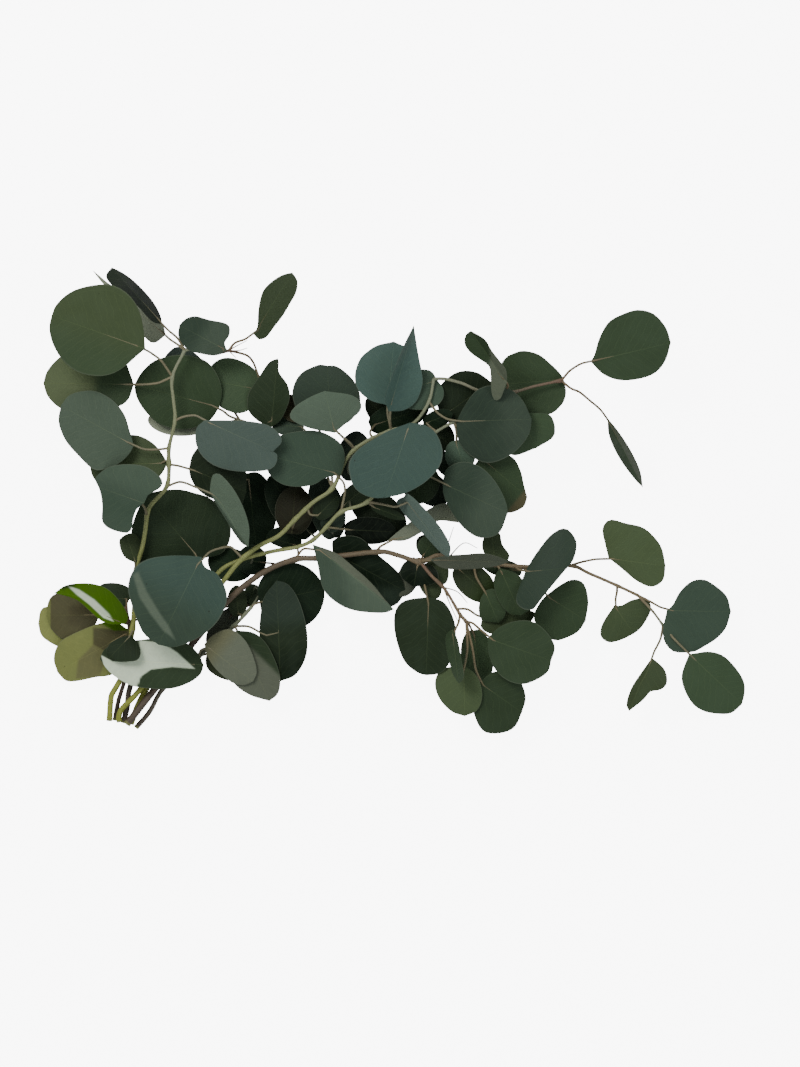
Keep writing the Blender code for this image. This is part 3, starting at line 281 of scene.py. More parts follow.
BLADES = (
    Blade("L1", "A", ((-178, 100), (-187, 113), (-195, 119)), (-199, 122), (-273, 148), 36, 36,
         (10, -4, 6), 90),
    Blade("L2", "A", ((-178, 98), (-190, 95), (-200, 94)), (-209, 94), (-282, 95), 27, 27,
         (-8, 3, -3), 60),
    Blade("L3", "A", ((-181, 43), (-190, 42), (-200, 42)), (-209, 45), (-267, 77), 29, 29, (6, 4, -4), 75),
    Blade("L4", "A", ((-168, 121), (-174, 131), (-181, 137)), (-186, 142), (-226, 187), 8, 8,
         (6, 20, -20), 70, point=0.4),
    Blade("L5", "A", ((-168, 121), (-174, 126), (-180, 130)), (-184, 134), (-244, 187), 13, 12,
         (-30, -16, 16), 58, point=0.7, grounded=True),
    Blade("L6", "A2", ((-145, 118), (-141, 119), (-137, 121)), (-134, 121), (-172, 141), 14, 14,
         (6, -6, 6), 66),
    Blade("L9", "A2", ((-133, 121), (-128, 127), (-120, 130)), (-113, 134), (-82, 183), 11, 11,
         (8, 20, -18), 64, point=0.3),
    Blade("L10", "A2", ((-133, 121), (-118, 117), (-112, 108), (-109, 98)), (-108, 90), (-150, 98),
         21, 22, (-3, 3, -3), 38),
    Blade("L12", "A", ((-176, 65), (-169, 68), (-160, 69)), (-152, 65), (-97, 40), 14, 25,
         (8, 4, -6), 92, retuse=0.08),
    Blade("L16", "A", ((-182, 14), (-172, 16), (-160, 12)), (-148, 8), (-117, -36), 9, 8,
         (4, 22, -18), 94),
    Blade("L17", "A", ((-181, 30), (-174, 29)), (-165, 27), (-119, 8), 17, 18, (-6, 2, -4), 62),
    Blade("L22", "A", ((-198, -10), (-200, -5)), (-200, -1), (-237, 12), 27, 29, (-14, -6, 8), 88),
    Blade("L24", "A", ((-181, 33), (-183, 33)), (-182, 31), (-245, 30), 11, 24, (-8, 2, -3), 45),
    Blade("L25", "A", ((-208, -58), (-208, -54)), (-208, -49), (-216, -26), 12, 12, (-4, 3, -3), 42),
    Blade("L7", "F", ((-125, 66), (-135, 82), (-143, 95)), (-149, 101), (-188, 113), 13, 13,
         (-6, 2, 2), 30),
    Blade("L8", "F", ((-125, 66), (-133, 69), (-138, 73)), (-141, 76), (-209, 94), 27, 29, (4, -3, 4), 48),
    Blade("L8b", "F", ((-125, 66), (-138, 64)), (-147, 64), (-199, 66), 12, 14, (-8, 2, -2), 34),
    Blade("L11", "F", ((-125, 66), (-110, 62)), (-99, 60), (-94, 115), 20, 13, (2, -8, 10), 44,
         point=0.6),
    Blade("L18", "F", ((-143, 10), (-130, 18)), (-119, 26), (-112, -36), 20, 21, (0, 0, 0), 8,
         arch=0.0, wave=0.0, crease=0.0, grounded=True),
    Blade("L20", "F", ((-160, -50), (-158, -48)), (-157, -46), (-201, 6), 33, 42, (8, 4, -4), 40),
    Blade("L21", "B", ((-122, -45), (-132, -36), (-140, -37), (-148, -40)), (-155, -44), (-189, -114),
         37, 37, (6, -8, 8), 96),
    Blade("L13", "B", ((-32, 42), (-42, 52), (-48, 58)), (-52, 61), (-54, 109), 26, 26, (-4, -3, 3), 55),
    Blade("L14", "B", ((-32, 42), (-36, 47), (-42, 52)), (-48, 55), (-56, 88), 31, 26, (14, 6, -2), 84),
    Blade("L19", "B", ((-80, -14), (-82, -20)), (-83, -27), (-80, 13), 15, 16, (-4, -2, 2), 22),
    Blade("L51a", "B", ((-3, 57), (-5, 66), (-6, 72)), (-6, 77), (-1, 128), 26, 26, (-6, 3, -3), 58),
    Blade("L51b", "B", ((-3, 57), (-4, 65)), (-5, 72), (15, 140), 14, 13, (12, 18, -12), 86, point=0.4),
    Blade("L52", "B", ((31, 98), (31, 96)), (34, 97), (-3, 86), 17, 13, (-4, 2, -2), 56),
    Blade("L54", "B", ((27, 80), (33, 72), (42, 66)), (49, 64), (109, 66), 30, 33, (6, 4, -4), 80),
    Blade("L73", "B", ((-18, 51), (-20, 56)), (-22, 60), (27, 76), 12, 12, (-4, 2, -2), 32),
    Blade("H1", "B", ((-50, 11), (-58, 30), (-66, 50)), (-72, 60), (-99, 62), 8, 8, (-3, 2, -2), 28),
    Blade("H2", "B", ((-50, 11), (-52, 35), (-62, 60)), (-68, 70), (-93, 80), 11, 11, (-3, 2, -2), 30),
    Blade("L71", "B", ((-72, -6), (-68, -10)), (-64, -13), (-46, 5), 9, 8, (-3, 2, -2), 36),
    Blade("L57", "B2", ((88, 87), (90, 92)), (89, 95), (60, 135), 14, 9, (20, -14, 14), 89),
    Blade("L55", "B2", ((131, 97), (129, 97)), (135, 98), (82, 94), 28, 25, (-8, 3, 3), 46),
    Blade("L56", "B2", ((96, 88), (97, 80)), (99, 72), (113, 43), 18, 17, (-6, 2, -2), 52),
    Blade("L58", "B2", ((133, 97), (140, 105), (148, 110)), (156, 112), (220, 127), 29, 27,
         (6, 4, -4), 72),
    Blade("L59", "B2", ((133, 97), (140, 91), (147, 88), (157, 80), (165, 73)), (170, 67), (200, 12),
         5, 5, (-46, 14, -14), 76, point=0.4, grounded=True),
    Blade("L15", "C", ((-43, -8), (-42, -2), (-40, 8), (-41, 15)), (-43, 22), (-105, 38), 19, 26,
         (4, -4, 6), 74),
    Blade("L53", "C", ((-22, 0), (-10, -2), (0, -4)), (7, 4), (43, -44), 8, 9, (4, 18, -18), 82),
    Blade("L69a", "C", ((-22, 0), (-21, -1)), (-20, -3), (9, -14), 4, 4, (2, 2, -2), 59, point=0.8),
    Blade("L50", "C", ((12, 41), (16, 52), (15, 60)), (12, 63), (-8, 3), 38, 37, (4, 4, -4), 95),
    Blade("L65", "C", ((8, 38), (20, 24), (28, 20)), (38, 15), (90, -9), 31, 31, (4, 5, -5), 68),
    Blade("L66", "C", ((47, 64), (49, 56)), (48, 50), (56, 24), 12, 12, (-4, 2, -2), 44),
    Blade("L67", "C", ((47, 64), (56, 52), (62, 42)), (68, 36), (106, 4), 20, 19, (-10, 2, -2), 42),
    Blade("L74", "C", ((47, 64), (42, 66)), (37, 68), (77, 96), 22, 22, (-4, 3, -3), 38),
    Blade("L75", "C", ((33, 56), (28, 60)), (22, 62), (46, 71), 7, 7, (2, 2, -2), 40),
    Blade("L76", "C", ((8, 38), (18, 34)), (30, 28), (12, 0), 14, 13, (-4, 2, -2), 36),
    Blade("L72", "C", ((-43, -8), (-44, -7)), (-44, -5), (-20, 15), 9, 9, (2, 2, -2), 34),
    Blade("L69b", "C", ((-55, -20), (-48, -21)), (-42, -22), (1, -24), 11, 11, (-3, 2, -2), 27),
    Blade("L70", "C", ((-65, -30), (-60, -26)), (-57, -23), (-42, -5), 9, 9, (-3, 2, -2), 35),
    Blade("L38", "D", ((-80, -46), (-74, -38)), (-66, -34), (-1, -86), 10, 27, (4, -6, -10), 78,
         point=0.5, crease=0.9),
    Blade("L39", "D", ((-60, -45), (-55, -42)), (-50, -40), (9, -72), 19, 16, (-4, 4, -4), 34,
         point=0.5),
    Blade("L40", "D", ((16, -47), (19, -55), (23, -64)), (27, -76), (25, -139), 28, 27, (-6, 3, -3), 57),
    Blade("L78", "D", ((20, -48), (19, -49)), (18, -51), (15, -68), 13, 12, (-3, 2, -2), 56.5),
    Blade("L79", "D3", ((36, -66), (37, -67)), (38, -67), (22, -51), 12, 12, (-3, 2, -2), 51),
    Blade("L77", "D", ((20, -48), (21, -46)), (22, -44), (32, -28), 9, 9, (-3, 2, -2), 29),
    Blade("L68", "D", ((-15, -40), (-12, -36)), (-6, -31), (54, -17), 9, 9, (-6, 2, -2), 31),
    Blade("L80", "D", ((20, -48), (24, -47)), (28, -46), (91, -48), 6, 7, (6, 14, -10), 81),
    Blade("L81", "D", ((80, -50), (80, -51)), (80, -51), (78, -26), 15, 15, (-4, 2, -2), 43),
    Blade("L45", "D", ((97, -52), (99, -54)), (104, -56), (137, -53), 37, 37, (10, -10, 12), 79,
         lean=-32),
    Blade("L47", "D", ((80, -50), (82, -51)), (84, -53), (101, -91), 14, 14, (-6, 3, -3), 51),
    Blade("L48", "D", ((63, -51), (65, -60)), (72, -71), (83, -97), 12, 11, (-4, 2, -2), 47),
    Blade("L49", "D", ((45, -45), (47, -48)), (48, -51), (79, -78), 13, 13, (-4, 2, -2), 35),
    Blade("L46", "D", ((103, -52), (112, -64)), (121, -75), (153, -95), 24, 23, (-8, 3, -3), 54),
    Blade("L60", "D", ((143, -51), (150, -48), (160, -46)), (171, -45), (216, -51), 32, 32,
         (14, 8, -8), 65, lean=22),
    Blade("L61", "D", ((178, -67), (178, -72), (177, -78)), (176, -83), (192, -106), 23, 23,
         (-12, 4, -4), 59),
    Blade("L62", "D", ((195, -75), (205, -80), (212, -84)), (218, -87), (270, -88), 29, 30,
         (-10, 3, -3), 63),
    Blade("L63", "D2", ((215, -99), (224, -110), (231, -117)), (236, -122), (280, -163), 25, 26,
         (-30, 2, -2), 66, grounded=True),
    Blade("L64", "D2", ((215, -99), (213, -110), (208, -120)), (206, -125), (188, -168), 13, 7,
         (-6, 10, -4), 61, point=0.5),
    Blade("L49b", "D3", ((48, -84), (58, -86), (66, -91)), (70, -93), (113, -89), 8, 8, (-4, 2, -2), 33),
    Blade("L44", "D3", ((57, -96), (62, -97), (68, -102)), (74, -109), (125, -127), 22, 28,
         (2, 5, -4), 73),
    Blade("L43", "D3", ((57, -96), (62, -117), (65, -135)), (68, -145), (102, -169), 24, 27,
         (-8, 3, -3), 48),
    Blade("L41", "D3", ((52, -90), (51, -96)), (46, -102), (51, -145), 6, 6, (2, 10, -12), 62.5),
    Blade("L42", "D3", ((57, -96), (58, -118)), (55, -131), (56, -172), 19, 18, (-4, 2, -2), 50),
    Blade("L42b", "D3", ((52, -90), (58, -96)), (63, -101), (69, -149), 13, 13, (-28, 2, -2), 32,
         grounded=True),
    Blade("L31", "G", ((-186, -149), (-172, -144), (-160, -138)), (-154, -131), (-237, -126), 20, 20,
         (4, 3, 3), 63),
    Blade("L32", "G", ((-158, -124), (-156, -119)), (-153, -114), (-114, -144), 14, 14, (-2, 4, -4), 77),
    Blade("L33", "G", ((-130, -100), (-128, -101)), (-127, -103), (-101, -160), 19, 19, (-6, 3, -3), 67),
    Blade("L34", "G", ((-158, -124), (-150, -122)), (-143, -119), (-135, -144), 10, 10, (-3, 2, -2), 20),
    Blade("L35", "G", ((-120, -89), (-122, -91)), (-126, -93), (-128, -67), 8, 8, (-3, 2, -2), 24),
    Blade("L36", "G", ((-130, -100), (-118, -100), (-108, -105)), (-92, -144), (-95, -63), 19, 19,
         (4, -4, 4), 65, notch=0.0, joint=((0.47, 0.62), (0.5, 0.3))),
    Blade("L37", "G", ((-115, -84), (-113, -82)), (-111, -81), (-57, -70), 27, 27, (-4, 3, -3), 39),
    Blade("L26", "H", ((-214, -98), (-215, -98)), (-217, -98), (-273, -73), 4, 15, (10, 3, 12), 69,
         point=0.6, crease=0.8),
    Blade("L27", "H", ((-216, -88), (-216, -84)), (-214, -78), (-240, -77), 14, 13, (-3, 2, -2), 36),
    Blade("L28a", "H", ((-214, -98), (-224, -95), (-232, -92)), (-238, -91), (-281, -91), 18, 18,
         (-4, 2, -2), 45),
    Blade("L28b", "H", ((-214, -104), (-230, -102), (-246, -99)), (-254, -98), (-288, -98), 16, 16,
         (-3, 2, -2), 35, grounded=True),
    Blade("L29", "H", ((-214, -108), (-213, -106)), (-213, -104), (-272, -137), 22, 19, (-6, 2, -2),
         46.5),
    Blade("L30", "A", ((-211, -102), (-211, -104)), (-212, -107), (-229, -125), 14, 11, (2, 2, -2),
         64),
)



# Plan points of the margins: the left one from base to tip, then the right one back to the base.

EDGES: dict[str, tuple] = {
    "L1": (((-207, 115), (-215, 108), (-225, 102), (-237, 100), (-252, 103), (-264, 112), (-272, 125),
             (-275, 138)),
            ((-269, 157), (-257, 167), (-240, 172), (-224, 172), (-211, 164), (-203, 151), (-200, 136))),
    "L2": (((-214, 81), (-225, 75), (-245, 72), (-266, 74), (-278, 84)),
            ((-279, 105), (-269, 116), (-252, 126), (-232, 126), (-218, 116), (-212, 103))),
    "L3": (((-213, 38), (-222, 30), (-237, 25), (-244, 28), (-253, 37), (-262, 47), (-267, 57),
             (-269, 66)),
            ((-259, 86), (-242, 89), (-228, 83), (-217, 71), (-212, 56))),
    "L4": (((-194, 144), (-205, 156), (-217, 166), (-226, 173), (-230, 180)),
            ((-219, 184), (-208, 176), (-195, 162), (-188, 150))),
    "L5": (((-193, 128), (-200, 131), (-210, 144), (-220, 157), (-232, 172), (-238, 179)),
            ((-239, 183), (-229, 175), (-217, 169), (-206, 160), (-196, 150), (-186, 142))),
    "L6": (((-143, 117), (-154, 118), (-166, 122), (-173, 132)),
            ((-167, 146), (-159, 148), (-148, 145), (-137, 143), (-132, 140), (-132, 133), (-136, 127))),
    "L7": (((-160, 93), (-178, 96), (-187, 104)), ((-182, 121), (-175, 125), (-164, 122), (-154, 113))),
    "L9": (((-110, 140), (-109, 152), (-107, 162), (-104, 169), (-97, 176), (-89, 181)),
            ((-78, 177), (-79, 168), (-84, 159), (-90, 149), (-97, 140), (-103, 132), (-109, 130))),
    "L10": (((-113, 77), (-125, 71), (-140, 76), (-147, 86)),
            ((-149, 108), (-141, 115), (-132, 116), (-125, 114), (-117, 110), (-109, 102))),
    "L11": (((-110, 65), (-118, 74), (-118, 86), (-114, 93), (-108, 102), (-101, 112)),
            ((-93, 112), (-93, 104), (-86, 94), (-84, 84), (-87, 74), (-92, 65))),
    "L12": (((-134, 65), (-115, 64), (-101, 61), (-93, 55), (-90, 48), (-95, 42)),
            ((-94, 38), (-94, 32), (-99, 26), (-113, 24), (-132, 25), (-148, 31), (-158, 43),
             (-159, 58))),
    "L13": (((-74, 67), (-82, 84), (-80, 96), (-74, 104), (-66, 108), (-60, 110)),
            ((-48, 109), (-41, 105), (-33, 97), (-28, 86), (-29, 74), (-38, 63))),
    "L14": (((-66, 58), (-79, 63), (-84, 68), (-79, 76), (-66, 84)),
            ((-35, 85), (-27, 79), (-28, 72), (-35, 66))),
    "L15": (((-56, 19), (-64, 14), (-76, 12), (-90, 14), (-101, 23)),
            ((-102, 46), (-95, 51), (-85, 55), (-66, 57), (-54, 54), (-43, 46), (-40, 35))),
    "L16": (((-147, 16), (-145, 22), (-141, 23), (-134, 17), (-127, 8), (-120, -6), (-116, -21)),
            ((-124, -32), (-133, -18), (-143, -2))),
    "L20": (((-180, -55), (-200, -52), (-209, -44), (-212, -30), (-210, -15)),
            ((-190, 9), (-181, 10), (-171, 10), (-160, 7), (-150, 4), (-140, -5), (-132, -22),
             (-138, -40))),
    "L21": (((-152, -52), (-142, -58), (-135, -72), (-136, -84), (-144, -98), (-158, -109), (-176, -116)),
            ((-200, -106), (-206, -94), (-211, -79), (-213, -69), (-211, -59), (-205, -50), (-195, -45),
             (-180, -43), (-166, -43))),
    "L22": (((-206, -6), (-209, -14), (-210, -21), (-214, -25), (-227, -22), (-234, -16), (-234, -4),
             (-235, 5)),
            ((-240, 18), (-236, 23), (-228, 28), (-216, 30), (-202, 29), (-193, 25), (-185, 17),
             (-187, 11), (-196, 6))),
    "L26": (((-228, -98), (-236, -95), (-245, -87), (-256, -78)),
            ((-264, -67), (-251, -65), (-239, -66), (-228, -71), (-218, -83), (-214, -93))),
    "L28b": (((-257, -112), (-265, -117), (-273, -116), (-285, -108)),
            ((-286, -87), (-280, -84), (-268, -83), (-258, -88))),
    "L29": (((-210, -118), (-215, -130), (-228, -139), (-241, -141), (-255, -144), (-265, -144)),
            ((-275, -126), (-271, -114), (-261, -107), (-239, -98), (-224, -97))),
    "L31": (((-156, -138), (-165, -145), (-181, -150), (-204, -149), (-217, -145), (-230, -136)),
            ((-233, -118), (-221, -112), (-209, -111), (-199, -110), (-185, -107), (-168, -113),
             (-158, -122))),
    "L32": (((-145, -106), (-132, -102), (-120, -111), (-113, -126), (-111, -137)),
            ((-121, -147), (-131, -145), (-144, -134), (-151, -123))),
    "L33": (((-113, -105), (-103, -114), (-95, -130), (-92, -143), (-94, -154)),
            ((-117, -155), (-130, -145), (-138, -127), (-135, -110))),
    "L36": (((-103, -137), (-107, -124), (-109, -106), (-108, -90), (-105, -76)),
            ((-86, -66), (-78, -77), (-72, -95), (-70, -112), (-72, -126), (-80, -139))),
    "L38": (((-49, -40), (-39, -47), (-31, -54), (-24, -60), (-16, -68), (-9, -77)),
            ((-10, -89), (-33, -87), (-48, -80), (-58, -69), (-62, -50))),
    "L39": (((-50, -31), (-40, -27), (-27, -29), (-15, -41), (3, -57)),
            ((0, -83), (-15, -84), (-35, -70), (-48, -54))),
    "L40": (((40, -81), (48, -97), (48, -115), (42, -132), (34, -138)),
            ((18, -137), (7, -127), (0, -106), (0, -88), (8, -79))),
    "L41": (((50, -110), (53, -126), (55, -140)), ((46, -137), (41, -118), (41, -106))),
    "L42": (((66, -140), (70, -155), (66, -167)), ((45, -168), (35, -157), (32, -144), (38, -134))),
    "L43": (((80, -136), (98, -141), (105, -156)),
            ((97, -180), (89, -185), (76, -186), (68, -181), (62, -165), (63, -152))),
    "L44": (((84, -100), (98, -95), (111, -96), (122, -105), (128, -116)),
            ((123, -135), (116, -141), (103, -146), (90, -143), (80, -134), (75, -121))),
    "L45": (((109, -47), (115, -38), (125, -26), (136, -21), (144, -29), (145, -37), (142, -47)),
            ((132, -59), (121, -72), (114, -81), (110, -86), (103, -86), (97, -81), (98, -72))),
    "L46": (((126, -71), (133, -66), (142, -62), (151, -65), (155, -79)),
            ((148, -103), (140, -108), (128, -111), (116, -103), (111, -92), (114, -84), (117, -79))),
    "L47": (((98, -58), (108, -72), (110, -84)), ((91, -89), (82, -77), (79, -62))),
    "L50": (((24, 61), (33, 54), (38, 41), (36, 29), (27, 18), (17, 11), (6, 6)),
            ((-17, 3), (-26, 6), (-33, 12), (-36, 21), (-37, 30), (-33, 38), (-25, 45), (-15, 51),
             (-4, 57))),
    "L51a": (((-20, 81), (-30, 90), (-32, 102), (-28, 114), (-22, 120), (-14, 125)),
            ((13, 121), (21, 107), (19, 91), (8, 79))),
    "L51b": (((-8, 82), (-4, 95), (1, 109), (8, 126)),
            ((18, 121), (21, 105), (22, 94), (17, 80), (7, 73))),
    "L52": (((39, 89), (37, 80), (27, 74), (8, 75)), ((2, 98), (14, 105), (28, 105))),
    "L53": (((9, 7), (19, -1), (35, -19), (44, -35)), ((37, -41), (21, -24), (10, -13), (1, 0))),
    "L54": (((54, 74), (64, 88), (76, 93), (89, 91), (101, 82)),
            ((107, 54), (97, 41), (84, 33), (72, 31), (60, 37), (51, 48))),
    "L55": (((137, 88), (135, 80), (131, 75), (124, 70), (107, 68), (92, 76)),
            ((82, 104), (88, 115), (95, 119), (103, 121), (115, 118), (125, 110), (132, 103))),
    "L56": (((110, 71), (123, 70), (127, 64), (128, 58), (126, 51)),
            ((95, 37), (88, 45), (86, 58), (90, 68))),
    "L57": (((84, 82), (80, 80), (77, 86), (76, 98), (75, 107), (67, 113), (60, 118), (55, 125),
             (56, 132)),
            ((71, 128), (76, 120), (83, 111), (88, 104))),
    "L58": (((159, 117), (162, 128), (166, 137), (171, 144), (180, 149), (193, 153), (206, 150),
             (216, 139)),
            ((216, 113), (208, 103), (195, 98), (179, 97), (166, 102))),
    "L59": (((179, 56), (189, 41), (197, 25)), ((193, 19), (181, 35), (172, 53))),
    "L60": (((168, -33), (166, -21), (172, -14), (184, -17), (197, -20), (206, -27), (213, -37)),
            ((215, -61), (211, -66), (204, -68), (193, -63), (181, -53))),
    "L61": (((182, -83), (189, -79), (200, -77), (205, -81), (205, -89), (198, -101)),
            ((182, -111), (172, -113), (166, -109), (165, -103), (168, -95))),
    "L62": (((223, -82), (227, -74), (233, -67), (239, -63), (247, -62), (254, -65), (266, -75)),
            ((266, -101), (258, -110), (250, -115), (241, -120), (232, -121), (223, -120), (216, -112),
             (215, -101))),
    "L63": (((243, -121), (252, -120), (263, -123), (273, -132), (281, -144), (282, -154)),
            ((272, -170), (263, -171), (250, -169), (240, -163), (233, -152), (230, -141), (232, -132))),
    "L64": (((210, -128), (216, -134), (218, -141), (217, -147), (212, -151), (205, -152), (199, -159)),
            ((186, -164), (187, -157), (191, -147), (199, -135))),
    "L65": (((41, 26), (53, 32), (68, 28), (80, 16), (88, 1)),
            ((83, -25), (69, -29), (56, -22), (45, -8), (39, 5))),
    "L67": (((80, 38), (94, 36), (101, 24), (103, 15)),
            ((103, -4), (91, -9), (78, -4), (65, 8), (61, 23))),
    "L80": (((40, -43), (55, -42), (70, -41), (83, -44)), ((78, -52), (56, -54), (38, -53))),
    "L8": (((-148, 66), (-160, 60), (-171, 58), (-186, 61), (-194, 66), (-203, 76), (-208, 86)),
            ((-204, 103), (-195, 112), (-185, 116), (-174, 118), (-162, 117), (-150, 112), (-142, 101),
             (-139, 89))),
    "L17": (((-162, 38), (-154, 46), (-140, 48), (-128, 42), (-120, 28)),
            ((-124, -2), (-138, 0), (-150, 4), (-159, 11), (-164, 20))),
    "L24": (((-188, 21), (-197, 14), (-215, 10), (-236, 14), (-243, 21)),
            ((-243, 42), (-230, 50), (-211, 54), (-198, 50), (-189, 42))),
    "L74": (((33, 80), (35, 91), (41, 98), (48, 103), (57, 105), (67, 103)),
            ((80, 84), (74, 70), (60, 62), (46, 62))),
    "L25": (((-216, -45), (-220, -38), (-221, -30)), ((-210, -25), (-204, -32), (-204, -42))),
    "L27": (((-219, -89), (-228, -92), (-238, -86)),
            ((-238, -67), (-226, -65), (-216, -68), (-211, -73), (-213, -79))),
    "L30": (((-206, -114), (-204, -122), (-207, -127), (-215, -128), (-223, -128)),
            ((-232, -121), (-229, -114), (-221, -109))),
    "L34": (((-135, -125), (-130, -138)), ((-143, -141), (-151, -135), (-153, -127), (-150, -120))),
    "L48": (((80, -70), (88, -82), (88, -92)), ((74, -96), (69, -94), (67, -87), (68, -79))),
    "L49b": (((80, -86), (100, -84)), ((108, -97), (92, -102), (78, -106), (69, -101))),
    "L78": (((27, -50), (33, -54), (35, -60), (32, -65), (25, -67)),
            ((9, -64), (5, -60), (4, -54), (8, -48), (14, -46))),
    "L79": (((36, -76), (28, -78), (20, -69), (18, -58)), ((30, -47), (42, -52), (43, -60), (41, -65))),
    "L81": (((75, -46), (70, -38), (71, -29)), ((84, -25), (86, -34), (92, -43), (88, -49))),
    "L82": (((27, -76), (24, -90), (12, -100)), ((-4, -95), (-8, -88), (-4, -78), (8, -68), (18, -63))),
    "L28a": (((-243, -101), (-255, -107), (-268, -110), (-278, -101)),
            ((-280, -81), (-276, -75), (-268, -73), (-260, -75), (-251, -79), (-243, -86))),
    "L68": (((2, -24), (15, -14), (30, -4), (41, -1), (50, -8)),
            ((46, -16), (35, -15), (28, -20), (20, -25), (8, -31))),
}

